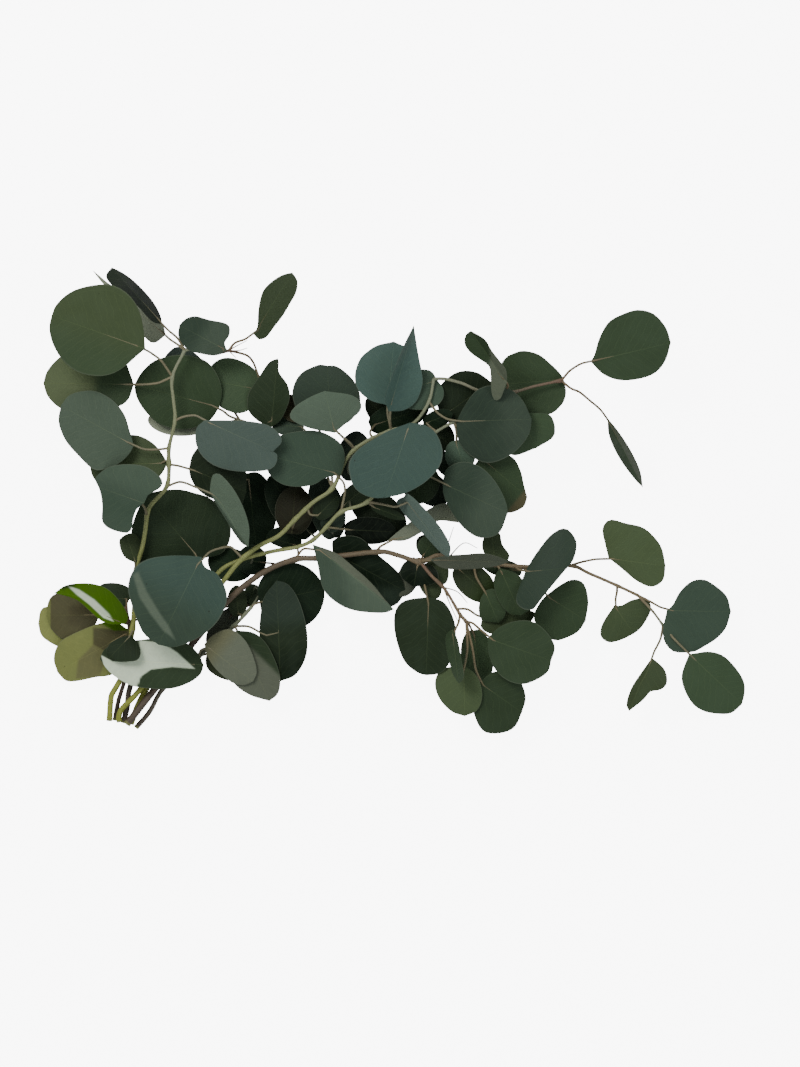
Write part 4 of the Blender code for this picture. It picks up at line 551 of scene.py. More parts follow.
STEM_SLOTS = (
    ("left_stem", "left_foliage"),
    ("inner_stem", "inner_foliage"),
    ("upper_stem", "upper_foliage"),
    ("middle_stem", "middle_foliage"),
    ("right_stem", "right_foliage"),
    ("lower_stem", "lower_foliage"),
    ("short_stem", "short_foliage"),
)
# Each brightness paints how much light or shade a blade gets as well as its own tone; the very dark green tint is
# painted deep shade.
LOOKS: dict[str, Look] = {
    "L1": Look(Tint.MOSS, 1.05, (Fade(Tint.GREEN, 90, 0.2, 0.9, 0.7),)),
    # L2: the darker green over the base half is painted shade where L1 lies over it.
    "L2": Look(Tint.FOREST, 1.1, (Fade(Tint.OLIVE, 0, -0.15, 0.25, 0.9),)),
    "L3": Look(Tint.SAGE, 0.95),
    "L4": Look(Tint.NIGHT, 0.5, (Fade(Tint.FOREST, 0, 0.4, 0.5, 0.8),)),
    "L5": Look(Tint.ASH, 2.2),
    "L6": Look(Tint.SAGE, 0.85, (Fade(Tint.TEAL, 0, 0.1, 0.7),)),
    "L7": Look(Tint.SLATE, 0.8),
    "L8": Look(Tint.FOREST, 1.35),
    "L8b": Look(Tint.ASH, 2.2),
    "L9": Look(Tint.MOSS, 1.25),
    "L10": Look(Tint.GREEN, 1.2),
    "L11": Look(Tint.FOREST, 0.85),
    "L12": Look(Tint.SLATE, 0.98),
    "L13": Look(Tint.TEAL, 0.8),
    "L14": Look(Tint.SAGE, 1.25),
    "L15": Look(Tint.TEAL, 1.2),
    "L16": Look(Tint.SAGE, 1.4),
    "L17": Look(Tint.FOREST, 0.5),
    "L18": Look(Tint.NIGHT, 1.05),
    "L19": Look(Tint.UMBER, 0.25),
    "L20": Look(Tint.FOREST, 0.9, (Fade(Tint.NIGHT, 180, 0.4, 0.8, 0.5),)),
    "L21": Look(Tint.TEAL, 1.0, (Fade(Tint.BLUE, 180, 0.0, 1.0, 0.6),)),
    "L22": Look(Tint.TEAL, 1.15, (Fade(Tint.SAGE, -90, 0.2, 0.8, 0.5),)),
    "L24": Look(Tint.MOSS, 1.0),
    "L25": Look(Tint.MOSS, 0.75),
    "L26": Look(Tint.LIME, 1.0),
    "L27": Look(Tint.FOREST, 0.85),
    "L28a": Look(Tint.TAUPE, 0.62, (Fade(Tint.STRAW, 0, 0.85, 0.08),)),
    "L28b": Look(Tint.STRAW, 0.95),
    "L29": Look(Tint.STRAW, 0.78),
    "L30": Look(Tint.FOREST, 0.6),
    "L31": Look(Tint.FOREST, 1.05),
    "L32": Look(Tint.ASH, 1.05, (Fade(Tint.TAUPE, 180, 0.4, 0.5, 0.6),)),
    # L33: the dark green towards the base on one side is painted shadow.
    "L33": Look(Tint.ASH, 0.85, (Fade(Tint.FOREST, 125, 0.45, 0.2),)),
    "L34": Look(Tint.OLIVE, 0.6),
    "L35": Look(Tint.MOSS, 0.5),
    "L36": Look(Tint.FOREST, 0.55, (Fade(Tint.TEAL, 0, 0.1, 0.5), Fade(Tint.NIGHT, 180, 0.45, 0.5, 0.7))),
    "L37": Look(Tint.NIGHT, 1.05),
    "L38": Look(Tint.SAGE, 1.05, (Fade(Tint.TEAL, 215, 0.2, 0.5, 0.7), Fade(Tint.ASH, 90, 0.1, 0.1, 0.9))),
    "L39": Look(Tint.NIGHT, 0.65, (Fade(Tint.TEAL, -60, 0.5, 0.5, 0.8),)),
    "L40": Look(Tint.FOREST, 0.7),
    "L41": Look(Tint.GREEN, 1.0),
    "L42": Look(Tint.MOSS, 1.25),
    "L42b": Look(Tint.FOREST, 2.0),
    "L43": Look(Tint.FOREST, 1.1),
    "L44": Look(Tint.GREEN, 0.9),
    "L45": Look(Tint.TEAL, 0.8),
    "L46": Look(Tint.FOREST, 1.4),
    "L47": Look(Tint.FOREST, 1.2),
    "L48": Look(Tint.FOREST, 1.3),
    # L49: the lime towards the tip is painted backlight.
    "L49": Look(Tint.MOSS, 0.52, (Fade(Tint.LIME, 0, 0.2, 1.0, 0.25),)),
    "L49b": Look(Tint.MOSS, 0.95),
    "L50": Look(Tint.BLUE, 0.85),
    "L51a": Look(Tint.BLUE, 1.2),
    "L51b": Look(Tint.BLUE, 1.35, (Fade(Tint.SLATE, 35, 0.4, 0.6, 0.8),)),
    "L52": Look(Tint.TEAL, 1.35),
    "L53": Look(Tint.SLATE, 1.7),
    "L54": Look(Tint.TEAL, 0.7, (Fade(Tint.SAGE, 0, 0.2, 0.8, 0.6),)),
    "L55": Look(Tint.FOREST, 1.35),
    "L56": Look(Tint.GREEN, 1.15),
    "L57": Look(Tint.FOREST, 1.35, (Fade(Tint.ASH, 200, 0.1, 0.15, 0.7),)),
    "L58": Look(Tint.GREEN, 0.95),
    "L59": Look(Tint.GREEN, 1.0, (Fade(Tint.ASH, 90, 0.1, 0.1, 0.6),)),
    "L60": Look(Tint.MOSS, 1.3),
    "L61": Look(Tint.MOSS, 1.15),
    "L62": Look(Tint.TEAL, 1.2),
    "L63": Look(Tint.GREEN, 1.3),
    "L64": Look(Tint.MOSS, 0.87),
    "L65": Look(Tint.TEAL, 0.85, (Fade(Tint.SAGE, 0, 0.0, 0.8, 0.7),)),
    "L66": Look(Tint.TEAL, 1.7),
    "L67": Look(Tint.FOREST, 1.45, (Fade(Tint.UMBER, 0, 0.8, 0.12),)),
    "L68": Look(Tint.ASH, 1.4),
    "L69a": Look(Tint.FOREST, 0.7),
    "L69b": Look(Tint.NIGHT, 0.2),
    "L70": Look(Tint.TEAL, 0.5),
    "L71": Look(Tint.FOREST, 0.5),
    "L72": Look(Tint.FOREST, 0.5),
    "L73": Look(Tint.NIGHT, 1.3),
    "L74": Look(Tint.FOREST, 0.5),
    "L75": Look(Tint.NIGHT, 1.0),
    "L76": Look(Tint.FOREST, 0.8),
    "L77": Look(Tint.FOREST, 1.15),
    "L78": Look(Tint.NIGHT, 0.5),
    "L79": Look(Tint.MOSS, 0.7),
    "L80": Look(Tint.ASH, 0.85),
    "L81": Look(Tint.MOSS, 0.7),
    "H1": Look(Tint.TEAL, 1.1),
    "H2": Look(Tint.UMBER, 0.7),
}

# Painted light and shade on single blades: a chalk-white sunlit patch cut by painted cast shadows on L31, a
# chalk-white sunlit strip and painted shade on L26, painted shade on L28a, painted shaded bands and a painted lit rim
# on L29, and a painted sun glint streak on L21.
LIGHT_AND_SHADE_PATCHES: dict[str, tuple[LightShadePatch, ...]] = {
    "L31": (LightShadePatch(Tint.CHALK, ((-236, -123), (-227, -128), (-216, -128.5), (-205.5, -124), (-205.5, -111),
                               (-187, -113), (-175, -121), (-161, -134), (-179, -132.5), (-196, -134.5),
                               (-204, -140), (-208, -150), (-220, -148), (-234, -131)), 1.2),),
    "L26": (LightShadePatch(Tint.CHALK, ((-262, -67), (-253, -70), (-241, -78), (-229.5, -89.5), (-226, -96),
                               (-234, -93), (-245, -82), (-255, -74)), 1.6),
            LightShadePatch(Tint.NIGHT, ((-272, -60), (-258, -62), (-256, -67), (-266, -70)), 3.0, 0.8)),
    "L29": (LightShadePatch(Tint.UMBER, ((-243, -101), (-212, -104), (-205, -111), (-205, -124), (-216, -128),
                               (-227, -127), (-234, -120), (-243, -115)), 2.5, 0.9),
            LightShadePatch(Tint.TAUPE, ((-243, -115), (-234, -120), (-227, -127), (-234, -131), (-238, -141),
                               (-257, -142), (-255, -127)), 2.5, 0.8),
            LightShadePatch(Tint.LIME, ((-233.5, -95), (-218, -97), (-212, -103), (-226, -103.5), (-236, -98)), 1.2)),
    "L28a": (LightShadePatch(Tint.UMBER, ((-262, -84), (-244, -82), (-236, -92), (-246, -104), (-264, -98)), 5.0, 0.8),),
    "L21": (LightShadePatch(Tint.PALE, ((-209, -58), (-205, -56), (-198, -72), (-188.5, -88), (-181, -99), (-176, -110),
                              (-185, -103), (-195, -90), (-204, -76)), 2.6, 0.9),),
}

# Dark tints and low brightness on these low leaves paint the deep shade inside the bunch.
UNDERS = (
    Under(Blade("U1", "B", ((-34, 40), (-38, 26)), (-35, 15), (-30, 57), 14, 14, (3, 1, 1), 0), 30,
          Look(Tint.TEAL, 0.5)),
    Under(Blade("U2", "C", ((-62, -27), (-63, -29)), (-66, -29), (-101, 21), 16, 17, (2, 1, 1), 0), 14,
          Look(Tint.NIGHT, 0.7)),
    Under(Blade("U3", "C", ((-55, -20), (-50, -25)), (-48, -31), (-62, 21), 14, 14, (2, 1, 1), 0), 23,
          Look(Tint.TEAL, 0.45)),
    Under(Blade("U4", "C", ((-35, -4), (-36, 2)), (-35, 8), (8, -22), 15, 16, (2, 1, 1), 0), 17,
          Look(Tint.FOREST, 0.45)),
    Under(Blade("U5", "C", ((6, 36), (11, 28)), (17, 21), (42, 0), 12, 13, (0, 1, 1), 0), 24,
          Look(Tint.TEAL, 0.4)),
    Under(Blade("U6", "D", ((-98, -53), (-96, -50)), (-103, -49), (-128, -46), 11, 13, (0, 1, 1), 0), 9,
          Look(Tint.NIGHT, 0.9)),
    Under(Blade("U7", "G", ((-108, -78), (-109, -73)), (-112, -66), (-119, -84), 7, 7, (0, 0.5, 0.5), 0), 5,
          Look(Tint.FOREST, 0.7)),
    Under(Blade("U8", "B", ((-3, 57), (-4, 58)), (-4, 61), (-22, 84), 9, 11, (2, 1, 1), 0), 30,
          Look(Tint.FOREST, 0.45)),
    Under(Blade("U9", "C", ((29, 53), (26, 58)), (22, 64), (46, 44), 12, 12, (2, 1, 1), 0), 34,
          Look(Tint.FOREST, 0.6)),
    Under(Blade("U10", "D", ((96, -52), (97, -51)), (103, -56), (70, -50), 7, 7, (2, 1, 1), 0), 25,
          Look(Tint.FOREST, 1.1)),
    Under(Blade("U11", "D", ((37, -45), (38, -45)), (40, -45), (18, -29), 10, 10, (1, 0.5, 0.5), 0), 14,
          Look(Tint.FOREST, 0.9)),
    Under(Blade("U12", "D", ((-80, -47), (-78, -43)), (-75, -36), (-104, -28), 5, 12, (0, 1, 1), 0), 10,
          Look(Tint.NIGHT, 0.9)),
    Under(Blade("U13", "B", ((-116, -40), (-115, -47)), (-114, -54), (-151, -46), 14, 13, (0, 0.5, 0.5), 0), 5,
          Look(Tint.NIGHT, 1.3)),
    Under(Blade("U14", "H", ((-120, -82), (-123, -83)), (-127, -85), (-151, -116), 8, 9, (0, 0.5, 0.5), 0), 3.5,
          Look(Tint.ASH, 0.5)),
    Under(Blade("U15", "C", ((29, 53), (30, 50)), (30, 47), (45, 20), 6, 7, (1, 0.5, 0.5), 0), 30,
          Look(Tint.TEAL, 0.6)),
    Under(Blade("U16", "D", ((14, -42), (15, -45)), (16, -48), (4, -76), 9, 9, (2, 0.5, 0.5), 0), 20,
          Look(Tint.ASH, 0.6)),
)

SHOOTS = (
    ("A2", ((-133, 121), (-126, 125), (-118, 129))),
    ("A2", ((-133, 121), (-125, 121), (-118, 123))),
    ("A2", ((-133, 121), (-130, 118), (-127, 115))),
    ("D", ((35, -43), (42, -34), (47, -20))),
    ("D", ((45, -41), (55, -33), (66, -37))),
    ("D3", ((39, -68), (50, -72), (58, -81))),
    ("D3", ((39, -68), (45, -84), (50, -95))),
)

BARKS: dict[str, tuple[Tint, Tint]] = {
    "A": (Tint.BARK_GREEN, Tint.BARK_GREY),
    "A2": (Tint.BARK_GREY, Tint.BARK_RED),
    "F": (Tint.BARK_BROWN, Tint.BARK_GREY),
    "B": (Tint.BARK_GREEN, Tint.BARK_GREY),
    "B2": (Tint.BARK_GREY, Tint.BARK_RED),
    "C": (Tint.BARK_GREEN, Tint.BARK_GREY),
    "D": (Tint.BARK_BROWN, Tint.STALK_TAN),
    "D2": (Tint.STALK_TAN, Tint.BARK_GREY),
    "D3": (Tint.BARK_RED, Tint.STALK_TAN),
    "G": (Tint.BARK_BROWN, Tint.BARK_GREY),
    "H": (Tint.BARK_BROWN, Tint.BARK_RED),
}


def smooth_route(points: list | tuple, step: float) -> np.ndarray:
    """Rows along a Catmull-Rom curve.

    Args:
        points: Rows of numbers, the first two of them in plan.
        step: Wanted distance between rows, in millimetres.

    Returns:
        The curve's rows, with the first and last point kept.
    """
    rows = np.array(points, float)
    if len(rows) < 2:
        return rows
    padded = np.vstack([2 * rows[0] - rows[1], rows, 2 * rows[-1] - rows[-2]])
    found = [rows[0]]
    for i in range(1, len(padded) - 2):
        p0, p1, p2, p3 = padded[i - 1:i + 3]
        count = max(1, int(round(np.linalg.norm((p2 - p1)[:2]) / step)))
        for k in range(1, count + 1):
            t = k / count
            found.append(0.5 * (2 * p1 + (p2 - p0) * t + (2 * p0 - 5 * p1 + 4 * p2 - p3) * t * t
                                + (3 * p1 - p0 - 3 * p2 + p3) * t ** 3))
    return np.array(found)


def margin(blade: Blade, edge: tuple, u: np.ndarray) -> tuple[np.ndarray, np.ndarray]:
    """Plan X and Y at shares of the way along one margin, from base to tip."""
    rows = smooth_route((blade.base, *edge, blade.tip), 3.0)
    steps = np.concatenate([[0], np.cumsum(np.hypot(*np.diff(rows, axis=0).T))])
    return np.interp(u * steps[-1], steps, rows[:, 0]), np.interp(u * steps[-1], steps, rows[:, 1])


def plan_point(blade: Blade, u: np.ndarray, v: np.ndarray) -> tuple[np.ndarray, ...]:
    """Places points of a blade in plan.

    Args:
        blade: The leaf.
        u: From 0 at the base to 1 at the tip.
        v: From -1 on the right margin to 1 on the left margin.

    Returns:
        Plan X, plan Y, the share of the way along and the share of the way out to a side.
    """
    base = np.array(blade.base, float)
    axis = np.array(blade.tip, float) - base
    length = np.hypot(*axis)
    if blade.name in EDGES:
        edges = EDGES[blade.name]
        reach = [np.abs(axis[0] * (y - base[1]) - axis[1] * (x - base[0])).max() / length
                 for x, y in (np.array(edge, float).T for edge in edges)]
        left, right = (np.stack(margin(blade, edge, u)) for edge in (edges[0], edges[1][::-1]))
        middle = np.stack([base[0] + u * axis[0], base[1] + u * axis[1]])
        width = right - left
        share = ((middle - left) * width).sum(axis=0) / np.maximum((width ** 2).sum(axis=0), 1e-6)
        middle = middle + (np.clip(share, 0.2, 0.8) - share) * width
        plan_x, plan_y = middle + np.abs(v) * (np.where(v > 0, left, right) - middle)
        out = (axis[0] * (plan_y - base[1]) - axis[1] * (plan_x - base[0])) / length
        along = (axis[0] * (plan_x - base[0]) + axis[1] * (plan_y - base[1])) / length ** 2
        return plan_x, plan_y, along, out / np.where(out > 0, reach[0], reach[1])
    angle = math.atan2(axis[1], axis[0]) + math.pi / 2 + math.radians(blade.lean)
    across = np.array([math.cos(angle), math.sin(angle)])
    power = math.log(0.5) / math.log(blade.wide)
    x = 2 * u ** power - 1
    ends = 0.5 + 0.45 * blade.point * np.clip(x, 0, 1)
    side = v * np.clip(1 - x * x, 0, 1) ** ends
    inner = 1 - (1 - np.exp(-u / 0.02)) * np.abs(v) ** 1.5
    outer = 1 - (1 - np.exp(-(1 - u) / 0.03)) * np.abs(v) ** 1.5
    along = u + blade.notch * (1 - u) * inner - blade.retuse * u * outer
    width = np.where(side > 0, blade.left, blade.right)
    plan_x = base[0] + along * axis[0] + side * width * across[0]
    plan_y = base[1] + along * axis[1] + side * width * across[1]
    return plan_x, plan_y, along, side


def blade_point(blade: Blade, u: np.ndarray, v: np.ndarray) -> tuple[np.ndarray, np.ndarray, np.ndarray]:
    """Places points of a blade in space.

    Args:
        blade: The leaf.
        u: From 0 at the base to 1 at the tip.
        v: From -1 on the right margin to 1 on the left margin.

    Returns:
        Plan X, plan Y and the rise above the base, in millimetres.
    """
    u, v = np.broadcast_arrays(np.asarray(u, float), np.asarray(v, float))
    plan_x, plan_y, along, side = plan_point(blade, u, v)
    length = math.hypot(blade.tip[0] - blade.base[0], blade.tip[1] - blade.base[1])
    tip, left, right = blade.rise
    odd, even = (left - right) / 2, (left + right) / 2
    fold = (1 - blade.crease) * side ** 2 + blade.crease * np.sqrt(side ** 2 + 0.002)
    rise = tip * along + blade.arch * 4 * along * (1 - along) + odd * side + even * fold
    phase = 0.37 * blade.base[0] + 0.61 * blade.base[1]
    rise = rise + blade.wave * np.sin(0.09 * length * along + phase) * side ** 2
    return plan_x, plan_y, rise


class Settling:
    """Heights at which no blade, stalk or stem of the bunch passes through another."""

    def __init__(self) -> None:
        """Lays every stem and stalk out as a string of beads."""
        self.rows: list[tuple] = []
        self.strings: dict[str, tuple[int, int]] = {}
        self.ties: list[tuple[int, int]] = []
        self.wished: list[float] = []
        self.nodes = {run.name: run.node for run in RUNS}
        self.lay_out()
        self.count = len(self.rows)
        self.z = self.relax()

    def add_string(self, key: str, points: np.ndarray, radius: np.ndarray, layers: np.ndarray,
                   kind: int, owner: int) -> None:
        """Adds one string of beads.

        Args:
            key: Name of the string.
            points: X, Y and wished height of each bead.
            radius: Radius of each bead.
            layers: Layer of each bead.
            kind: 0 for a stem, 1 for a stalk.
            owner: Index of the run or of the blade.
        """
        start = len(self.rows)
        for i, point in enumerate(points):
            self.rows.append((point[0], point[1], point[2], radius[i], layers[i], kind, owner))
        self.strings[key] = (start, len(self.rows))

    def nearest(self, key: str, point: tuple) -> int:
        """Index of the bead of a string that is nearest in plan."""
        start, stop = self.strings[key]
        plan = np.array([row[:2] for row in self.rows[start:stop]])
        return start + int(np.argmin(np.hypot(*(plan - np.array(point[:2])).T)))

    def lay_out(self) -> None:
        """Makes the strings, the wished heights and the ties between strings."""
        for number, run in enumerate(RUNS):
            rows = smooth_route(run.route, BEAD_STEP)
            radius = np.linspace(run.thick[0], run.thick[1], len(rows))
            self.add_string(run.name, rows[:, :3], radius, rows[:, 3], 0, number)
        for run in RUNS:
            if run.parent:
                self.ties.append((self.strings[run.name][0], self.nearest(run.parent, run.route[0])))
        for number, blade in enumerate(BLADES):
            root = self.nearest(blade.stem, blade.stalk[0])
            first = self.rows[root]
            lift = 0.38 * (blade.layer - first[4])
            end_x, end_y, _ = blade_point(blade, *np.array(blade.joint[0]))
            route = [(first[0], first[1])] + list(blade.stalk[1:]) + [(float(end_x), float(end_y))]
            plan = smooth_route(route, 7.0)
            share = np.linspace(0, 1, len(plan))
            layers = first[4] + (blade.layer - first[4]) * np.clip(1.8 * share, 0, 1)
            points = np.column_stack([plan, first[2] + lift * share])
            key = "stalk " + blade.name
            self.add_string(key, points, np.full(len(plan), STALK_RADIUS), layers, 1, number)
            self.ties.append((self.strings[key][0], root))
            self.wished.append(first[2] + lift)

    def blade_cells(self, blade: Blade) -> tuple[np.ndarray, np.ndarray]:
        """Highest and lowest rise of the thickened blade in every cell of the plan grid."""
        extra = CAD_THICKNESS / 2 + CLEARANCE / 2
        u, v = np.meshgrid(np.linspace(0, 1, 44), np.linspace(-1, 1, 37), indexing="ij")
        points = np.stack(blade_point(blade, u, v), axis=-1)
        normal = np.cross(np.gradient(points, axis=0), np.gradient(points, axis=1))
        size = np.linalg.norm(normal, axis=-1, keepdims=True)
        normal = np.where(size > 1e-3, normal / np.maximum(size, 1e-9), (0, 0, 1))
        high = np.full((250, 170), -1e9)
        low = np.full((250, 170), 1e9)
        for sign in (-1, 0, 1):
            moved = (points + sign * extra * normal).reshape(-1, 3)
            cell = np.floor((moved[:, :2] - (-310.0, -210.0)) / CELL).astype(int)
            np.maximum.at(high, (cell[:, 0], cell[:, 1]), moved[:, 2])
            np.minimum.at(low, (cell[:, 0], cell[:, 1]), moved[:, 2])
        return high, low

    def clearances(self, cells: list[tuple[np.ndarray, np.ndarray]]) -> list[tuple[int, int, float]]:
        """Rows (upper, lower, least height between them) for all that crosses in plan."""
        count = self.count
        table = np.array(self.rows, float)
        plan, radius, layer, kind = table[:, :2], table[:, 3], table[:, 4], table[:, 5]
        owner = table[:, 6].astype(int)
        node = np.array([self.nodes[RUNS[o].name if k == 0 else BLADES[o].stem]
                         for k, o in zip(kind, owner)])
        found = []
        for i, first in enumerate(BLADES):
            for j in range(i + 1, len(BLADES)):
                both = (cells[i][0] > -1e8) & (cells[j][0] > -1e8)
                if both.any():
                    up, down = (i, j) if first.layer >= BLADES[j].layer else (j, i)
                    least = float((cells[down][0] - cells[up][1])[both].max())
                    found.append((count + up, count + down, least))
        centres_x = -310.0 + CELL * (np.arange(250) + 0.5)
        centres_y = -210.0 + CELL * (np.arange(170) + 0.5)
        for i in range(count):
            reach = radius[i] + CLEARANCE / 2
            x0 = int((plan[i, 0] - reach - 1 + 310.0) / CELL)
            y0 = int((plan[i, 1] - reach - 1 + 210.0) / CELL)
            span = int(2 * (reach + 1) / CELL) + 2
            part = (slice(x0, x0 + span), slice(y0, y0 + span))
            apart = np.hypot(centres_x[part[0], None] - plan[i, 0], centres_y[None, part[1]] - plan[i, 1])
            half = np.sqrt(np.clip(reach ** 2 - np.clip(apart - 1.0, 0, None) ** 2, 0, None))
            for number, blade in enumerate(BLADES):
                high, low = cells[number][0][part], cells[number][1][part]
                near = (high > -1e8) & (apart < reach + 1.0)
                own = kind[i] == 1 and owner[i] == number
                tied = np.hypot(*(plan[i] - np.array(blade.base))) < 12.0
                if not near.any() or own or (tied and node[i] == self.nodes[blade.stem]):
                    continue
                if layer[i] >= blade.layer:
                    found.append((i, count + number, float((high + half)[near].max())))
                else:
                    found.append((count + number, i, float((half - low)[near].max())))
        for i in range(count):
            apart = np.hypot(*(plan[i + 1:] - plan[i]).T)
            reach = radius[i] + radius[i + 1:] + CLEARANCE
            for j in np.nonzero((apart < reach) & (node[i + 1:] != node[i]))[0]:
                other = i + 1 + int(j)
                least = float(math.sqrt(reach[j] ** 2 - max(apart[j] - 1.5, 0) ** 2))
                up, down = (i, other) if layer[i] >= layer[other] else (other, i)
                found.append((up, down, least))
        return found

    def relax(self) -> np.ndarray:
        """Moves everything up or down until it clears, and returns the heights."""
        cells = [self.blade_cells(blade) for blade in BLADES]
        found = self.clearances(cells)
        count, total = self.count, self.count + len(BLADES)
        wish = np.array([row[2] for row in self.rows] + self.wished)
        floor = np.empty(total)
        floor[:count] = np.array([row[3] for row in self.rows]) + 0.1
        for number in range(len(BLADES)):
            floor[count + number] = -cells[number][1].min() - CLEARANCE / 2
        pinned = {count + n: resting_height(b) for n, b in enumerate(BLADES) if b.grounded}
        up = np.array([row[0] for row in found])
        down = np.array([row[1] for row in found])
        least = np.array([row[2] for row in found])
        z = np.maximum(wish, floor)
        for index, height in pinned.items():
            z[index] = height
        ends = []
        for number, blade in enumerate(BLADES):
            rise = float(blade_point(blade, *np.array(blade.joint[0]))[2])
            ends.append((self.strings["stalk " + blade.name][1] - 1, count + number, rise))
        for turn in range(700):
            pull = 0.06 if turn < 420 else 0.01
            z[count:] += pull * (wish[count:] - z[count:])
            self.smooth(z, wish, pull)
            for a, b in self.ties:
                z[a] = z[b] = 0.15 * z[a] + 0.85 * z[b]
            for a, b, rise in ends:
                gap = z[b] + rise - z[a]
                z[a] += 0.75 * gap
                z[b] -= 0.12 * gap
            short = np.maximum(least - (z[up] - z[down]), 0)
            times = np.bincount(up, short > 0, total) + np.bincount(down, short > 0, total)
            move = np.bincount(up, short * 0.5, total) - np.bincount(down, short * 0.5, total)
            z = np.maximum(z + 1.25 * move / np.maximum(times, 1), floor)
            for index, height in pinned.items():
                z[index] = height
        rank = np.array([row[4] for row in self.rows] + [blade.layer for blade in BLADES])
        for _ in range(3):
            for k in np.argsort(rank[up], kind="stable"):
                if up[k] not in pinned:
                    z[up[k]] = max(z[up[k]], z[down[k]] + least[k])
        for a, b, rise in ends:
            z[a] = z[b] + rise
        return z

    def smooth(self, z: np.ndarray, wish: np.ndarray, pull: float) -> None:
        """Keeps stems and stalks even while they move."""
        for key, (start, stop) in self.strings.items():
            if key.startswith("stalk"):
                inner = z[start:stop]
                if len(inner) > 2:
                    inner[1:-1] += 0.45 * (0.5 * (inner[:-2] + inner[2:]) - inner[1:-1])
            else:
                change = z[start:stop] - wish[start:stop]
                change[1:-1] += 0.48 * (0.5 * (change[:-2] + change[2:]) - change[1:-1])
                change[0] += 0.3 * (change[1] - change[0])
                change[-1] += 0.3 * (change[-2] - change[-1])
                z[start:stop] = wish[start:stop] + (1 - 0.15 * pull) * change

    def route(self, key: str) -> np.ndarray:
        """X, Y, Z of a string's beads."""
        start, stop = self.strings[key]
        plan = np.array([row[:2] for row in self.rows[start:stop]])
        return np.column_stack([plan, self.z[start:stop]])

    def base_height(self, number: int) -> float:
        """Height of a blade's base."""
        return float(self.z[self.count + number])


def resting_height(blade: Blade) -> float:
    """Height of the base at which the coarse blade's lowest corner is on the surface."""
    u = np.array([0.0] + [r for r in CAD_ROWS for _ in range(3)] + [1.0])
    v = np.array([0.0] + [c for _ in CAD_ROWS for c in (-1.0, 0.0, 1.0)] + [0.0])
    points = np.stack(blade_point(blade, u, v), axis=-1)
    faces = [(0, 1, 2), (0, 2, 3)]
    for r in range(len(CAD_ROWS) - 1):
        for k in range(2):
            a = 1 + 3 * r + k
            faces += [(a, a + 3, a + 4), (a, a + 4, a + 1)]
    last, start = len(points) - 1, 1 + 3 * (len(CAD_ROWS) - 1)
    faces += [(start, last, start + 1), (start + 1, last, start + 2)]
    normal = np.zeros_like(points)
    for a, b, c in faces:
        face = np.cross(points[b] - points[a], points[c] - points[a])
        for k in (a, b, c):
            normal[k] += face
    normal /= np.linalg.norm(normal, axis=1, keepdims=True)
    return -float((points[:, 2] - np.abs(normal[:, 2]) * CAD_THICKNESS / 2).min())


class Group:
    """Helper that builds one shader node group."""

    def __init__(self, name: str, inputs: dict[str, tuple[str, object]], outputs: dict[str, str]) -> None:
        """Makes the group and its sockets.

        Args:
            name: Name of the group.
            inputs: Socket name to its kind, FLOAT, COLOR or VECTOR, and its default.
            outputs: Socket name to its kind.
        """
        self.tree = bpy.data.node_groups.new(name, "ShaderNodeTree")
        kinds = {"FLOAT": "NodeSocketFloat", "COLOR": "NodeSocketColor", "VECTOR": "NodeSocketVector"}
        for key, (kind, value) in inputs.items():
            made = self.tree.interface.new_socket(key, in_out="INPUT", socket_type=kinds[kind])
            if value is not None:
                made.default_value = value
        for key, kind in outputs.items():
            self.tree.interface.new_socket(key, in_out="OUTPUT", socket_type=kinds[kind])
        self.inputs = self.tree.nodes.new("NodeGroupInput")
        self.outputs = self.tree.nodes.new("NodeGroupOutput")

    def math(self, kind: str, *values: object) -> bpy.types.NodeSocket:
        """A math node on sockets or numbers, and its result."""
        return math_node(self.tree, kind, *values)

    def out(self, key: str, socket: bpy.types.NodeSocket) -> None:
        """Joins a socket to an output of the group."""
        self.tree.links.new(socket, self.outputs.inputs[key])


def math_node(tree: bpy.types.NodeTree, kind: str, *values: object) -> bpy.types.NodeSocket:
    """Adds a math node.

    Args:
        tree: Tree that gets the node.
        kind: Operation.
        values: Sockets or numbers for its inputs.

    Returns:
        The node's output.
    """
    node = tree.nodes.new("ShaderNodeMath")
    node.operation = kind
    for i, value in enumerate(values):
        if isinstance(value, (int, float)):
            node.inputs[i].default_value = value
        else:
            tree.links.new(value, node.inputs[i])
    return node.outputs[0]


def ramp(tree: bpy.types.NodeTree, value: bpy.types.NodeSocket, low: float, high: float,
         first: float = 0.0, last: float = 1.0) -> bpy.types.NodeSocket:
    """A smooth step of a value from one pair of limits to another."""
    node = tree.nodes.new("ShaderNodeMapRange")
    node.interpolation_type = "SMOOTHSTEP"
    tree.links.new(value, node.inputs["Value"])
    for key, number in (("From Min", low), ("From Max", high), ("To Min", first), ("To Max", last)):
        node.inputs[key].default_value = number
    return node.outputs["Result"]


def noise(tree: bpy.types.NodeTree, vector: bpy.types.NodeSocket, scale: float, detail: float = 2.0,
          rough: float = 0.5) -> bpy.types.NodeSocket:
    """Noise value at a scale."""
    node = tree.nodes.new("ShaderNodeTexNoise")
    node.inputs["Scale"].default_value = scale
    node.inputs["Detail"].default_value = detail
    node.inputs["Roughness"].default_value = rough
    tree.links.new(vector, node.inputs["Vector"])
    return node.outputs["Fac"]


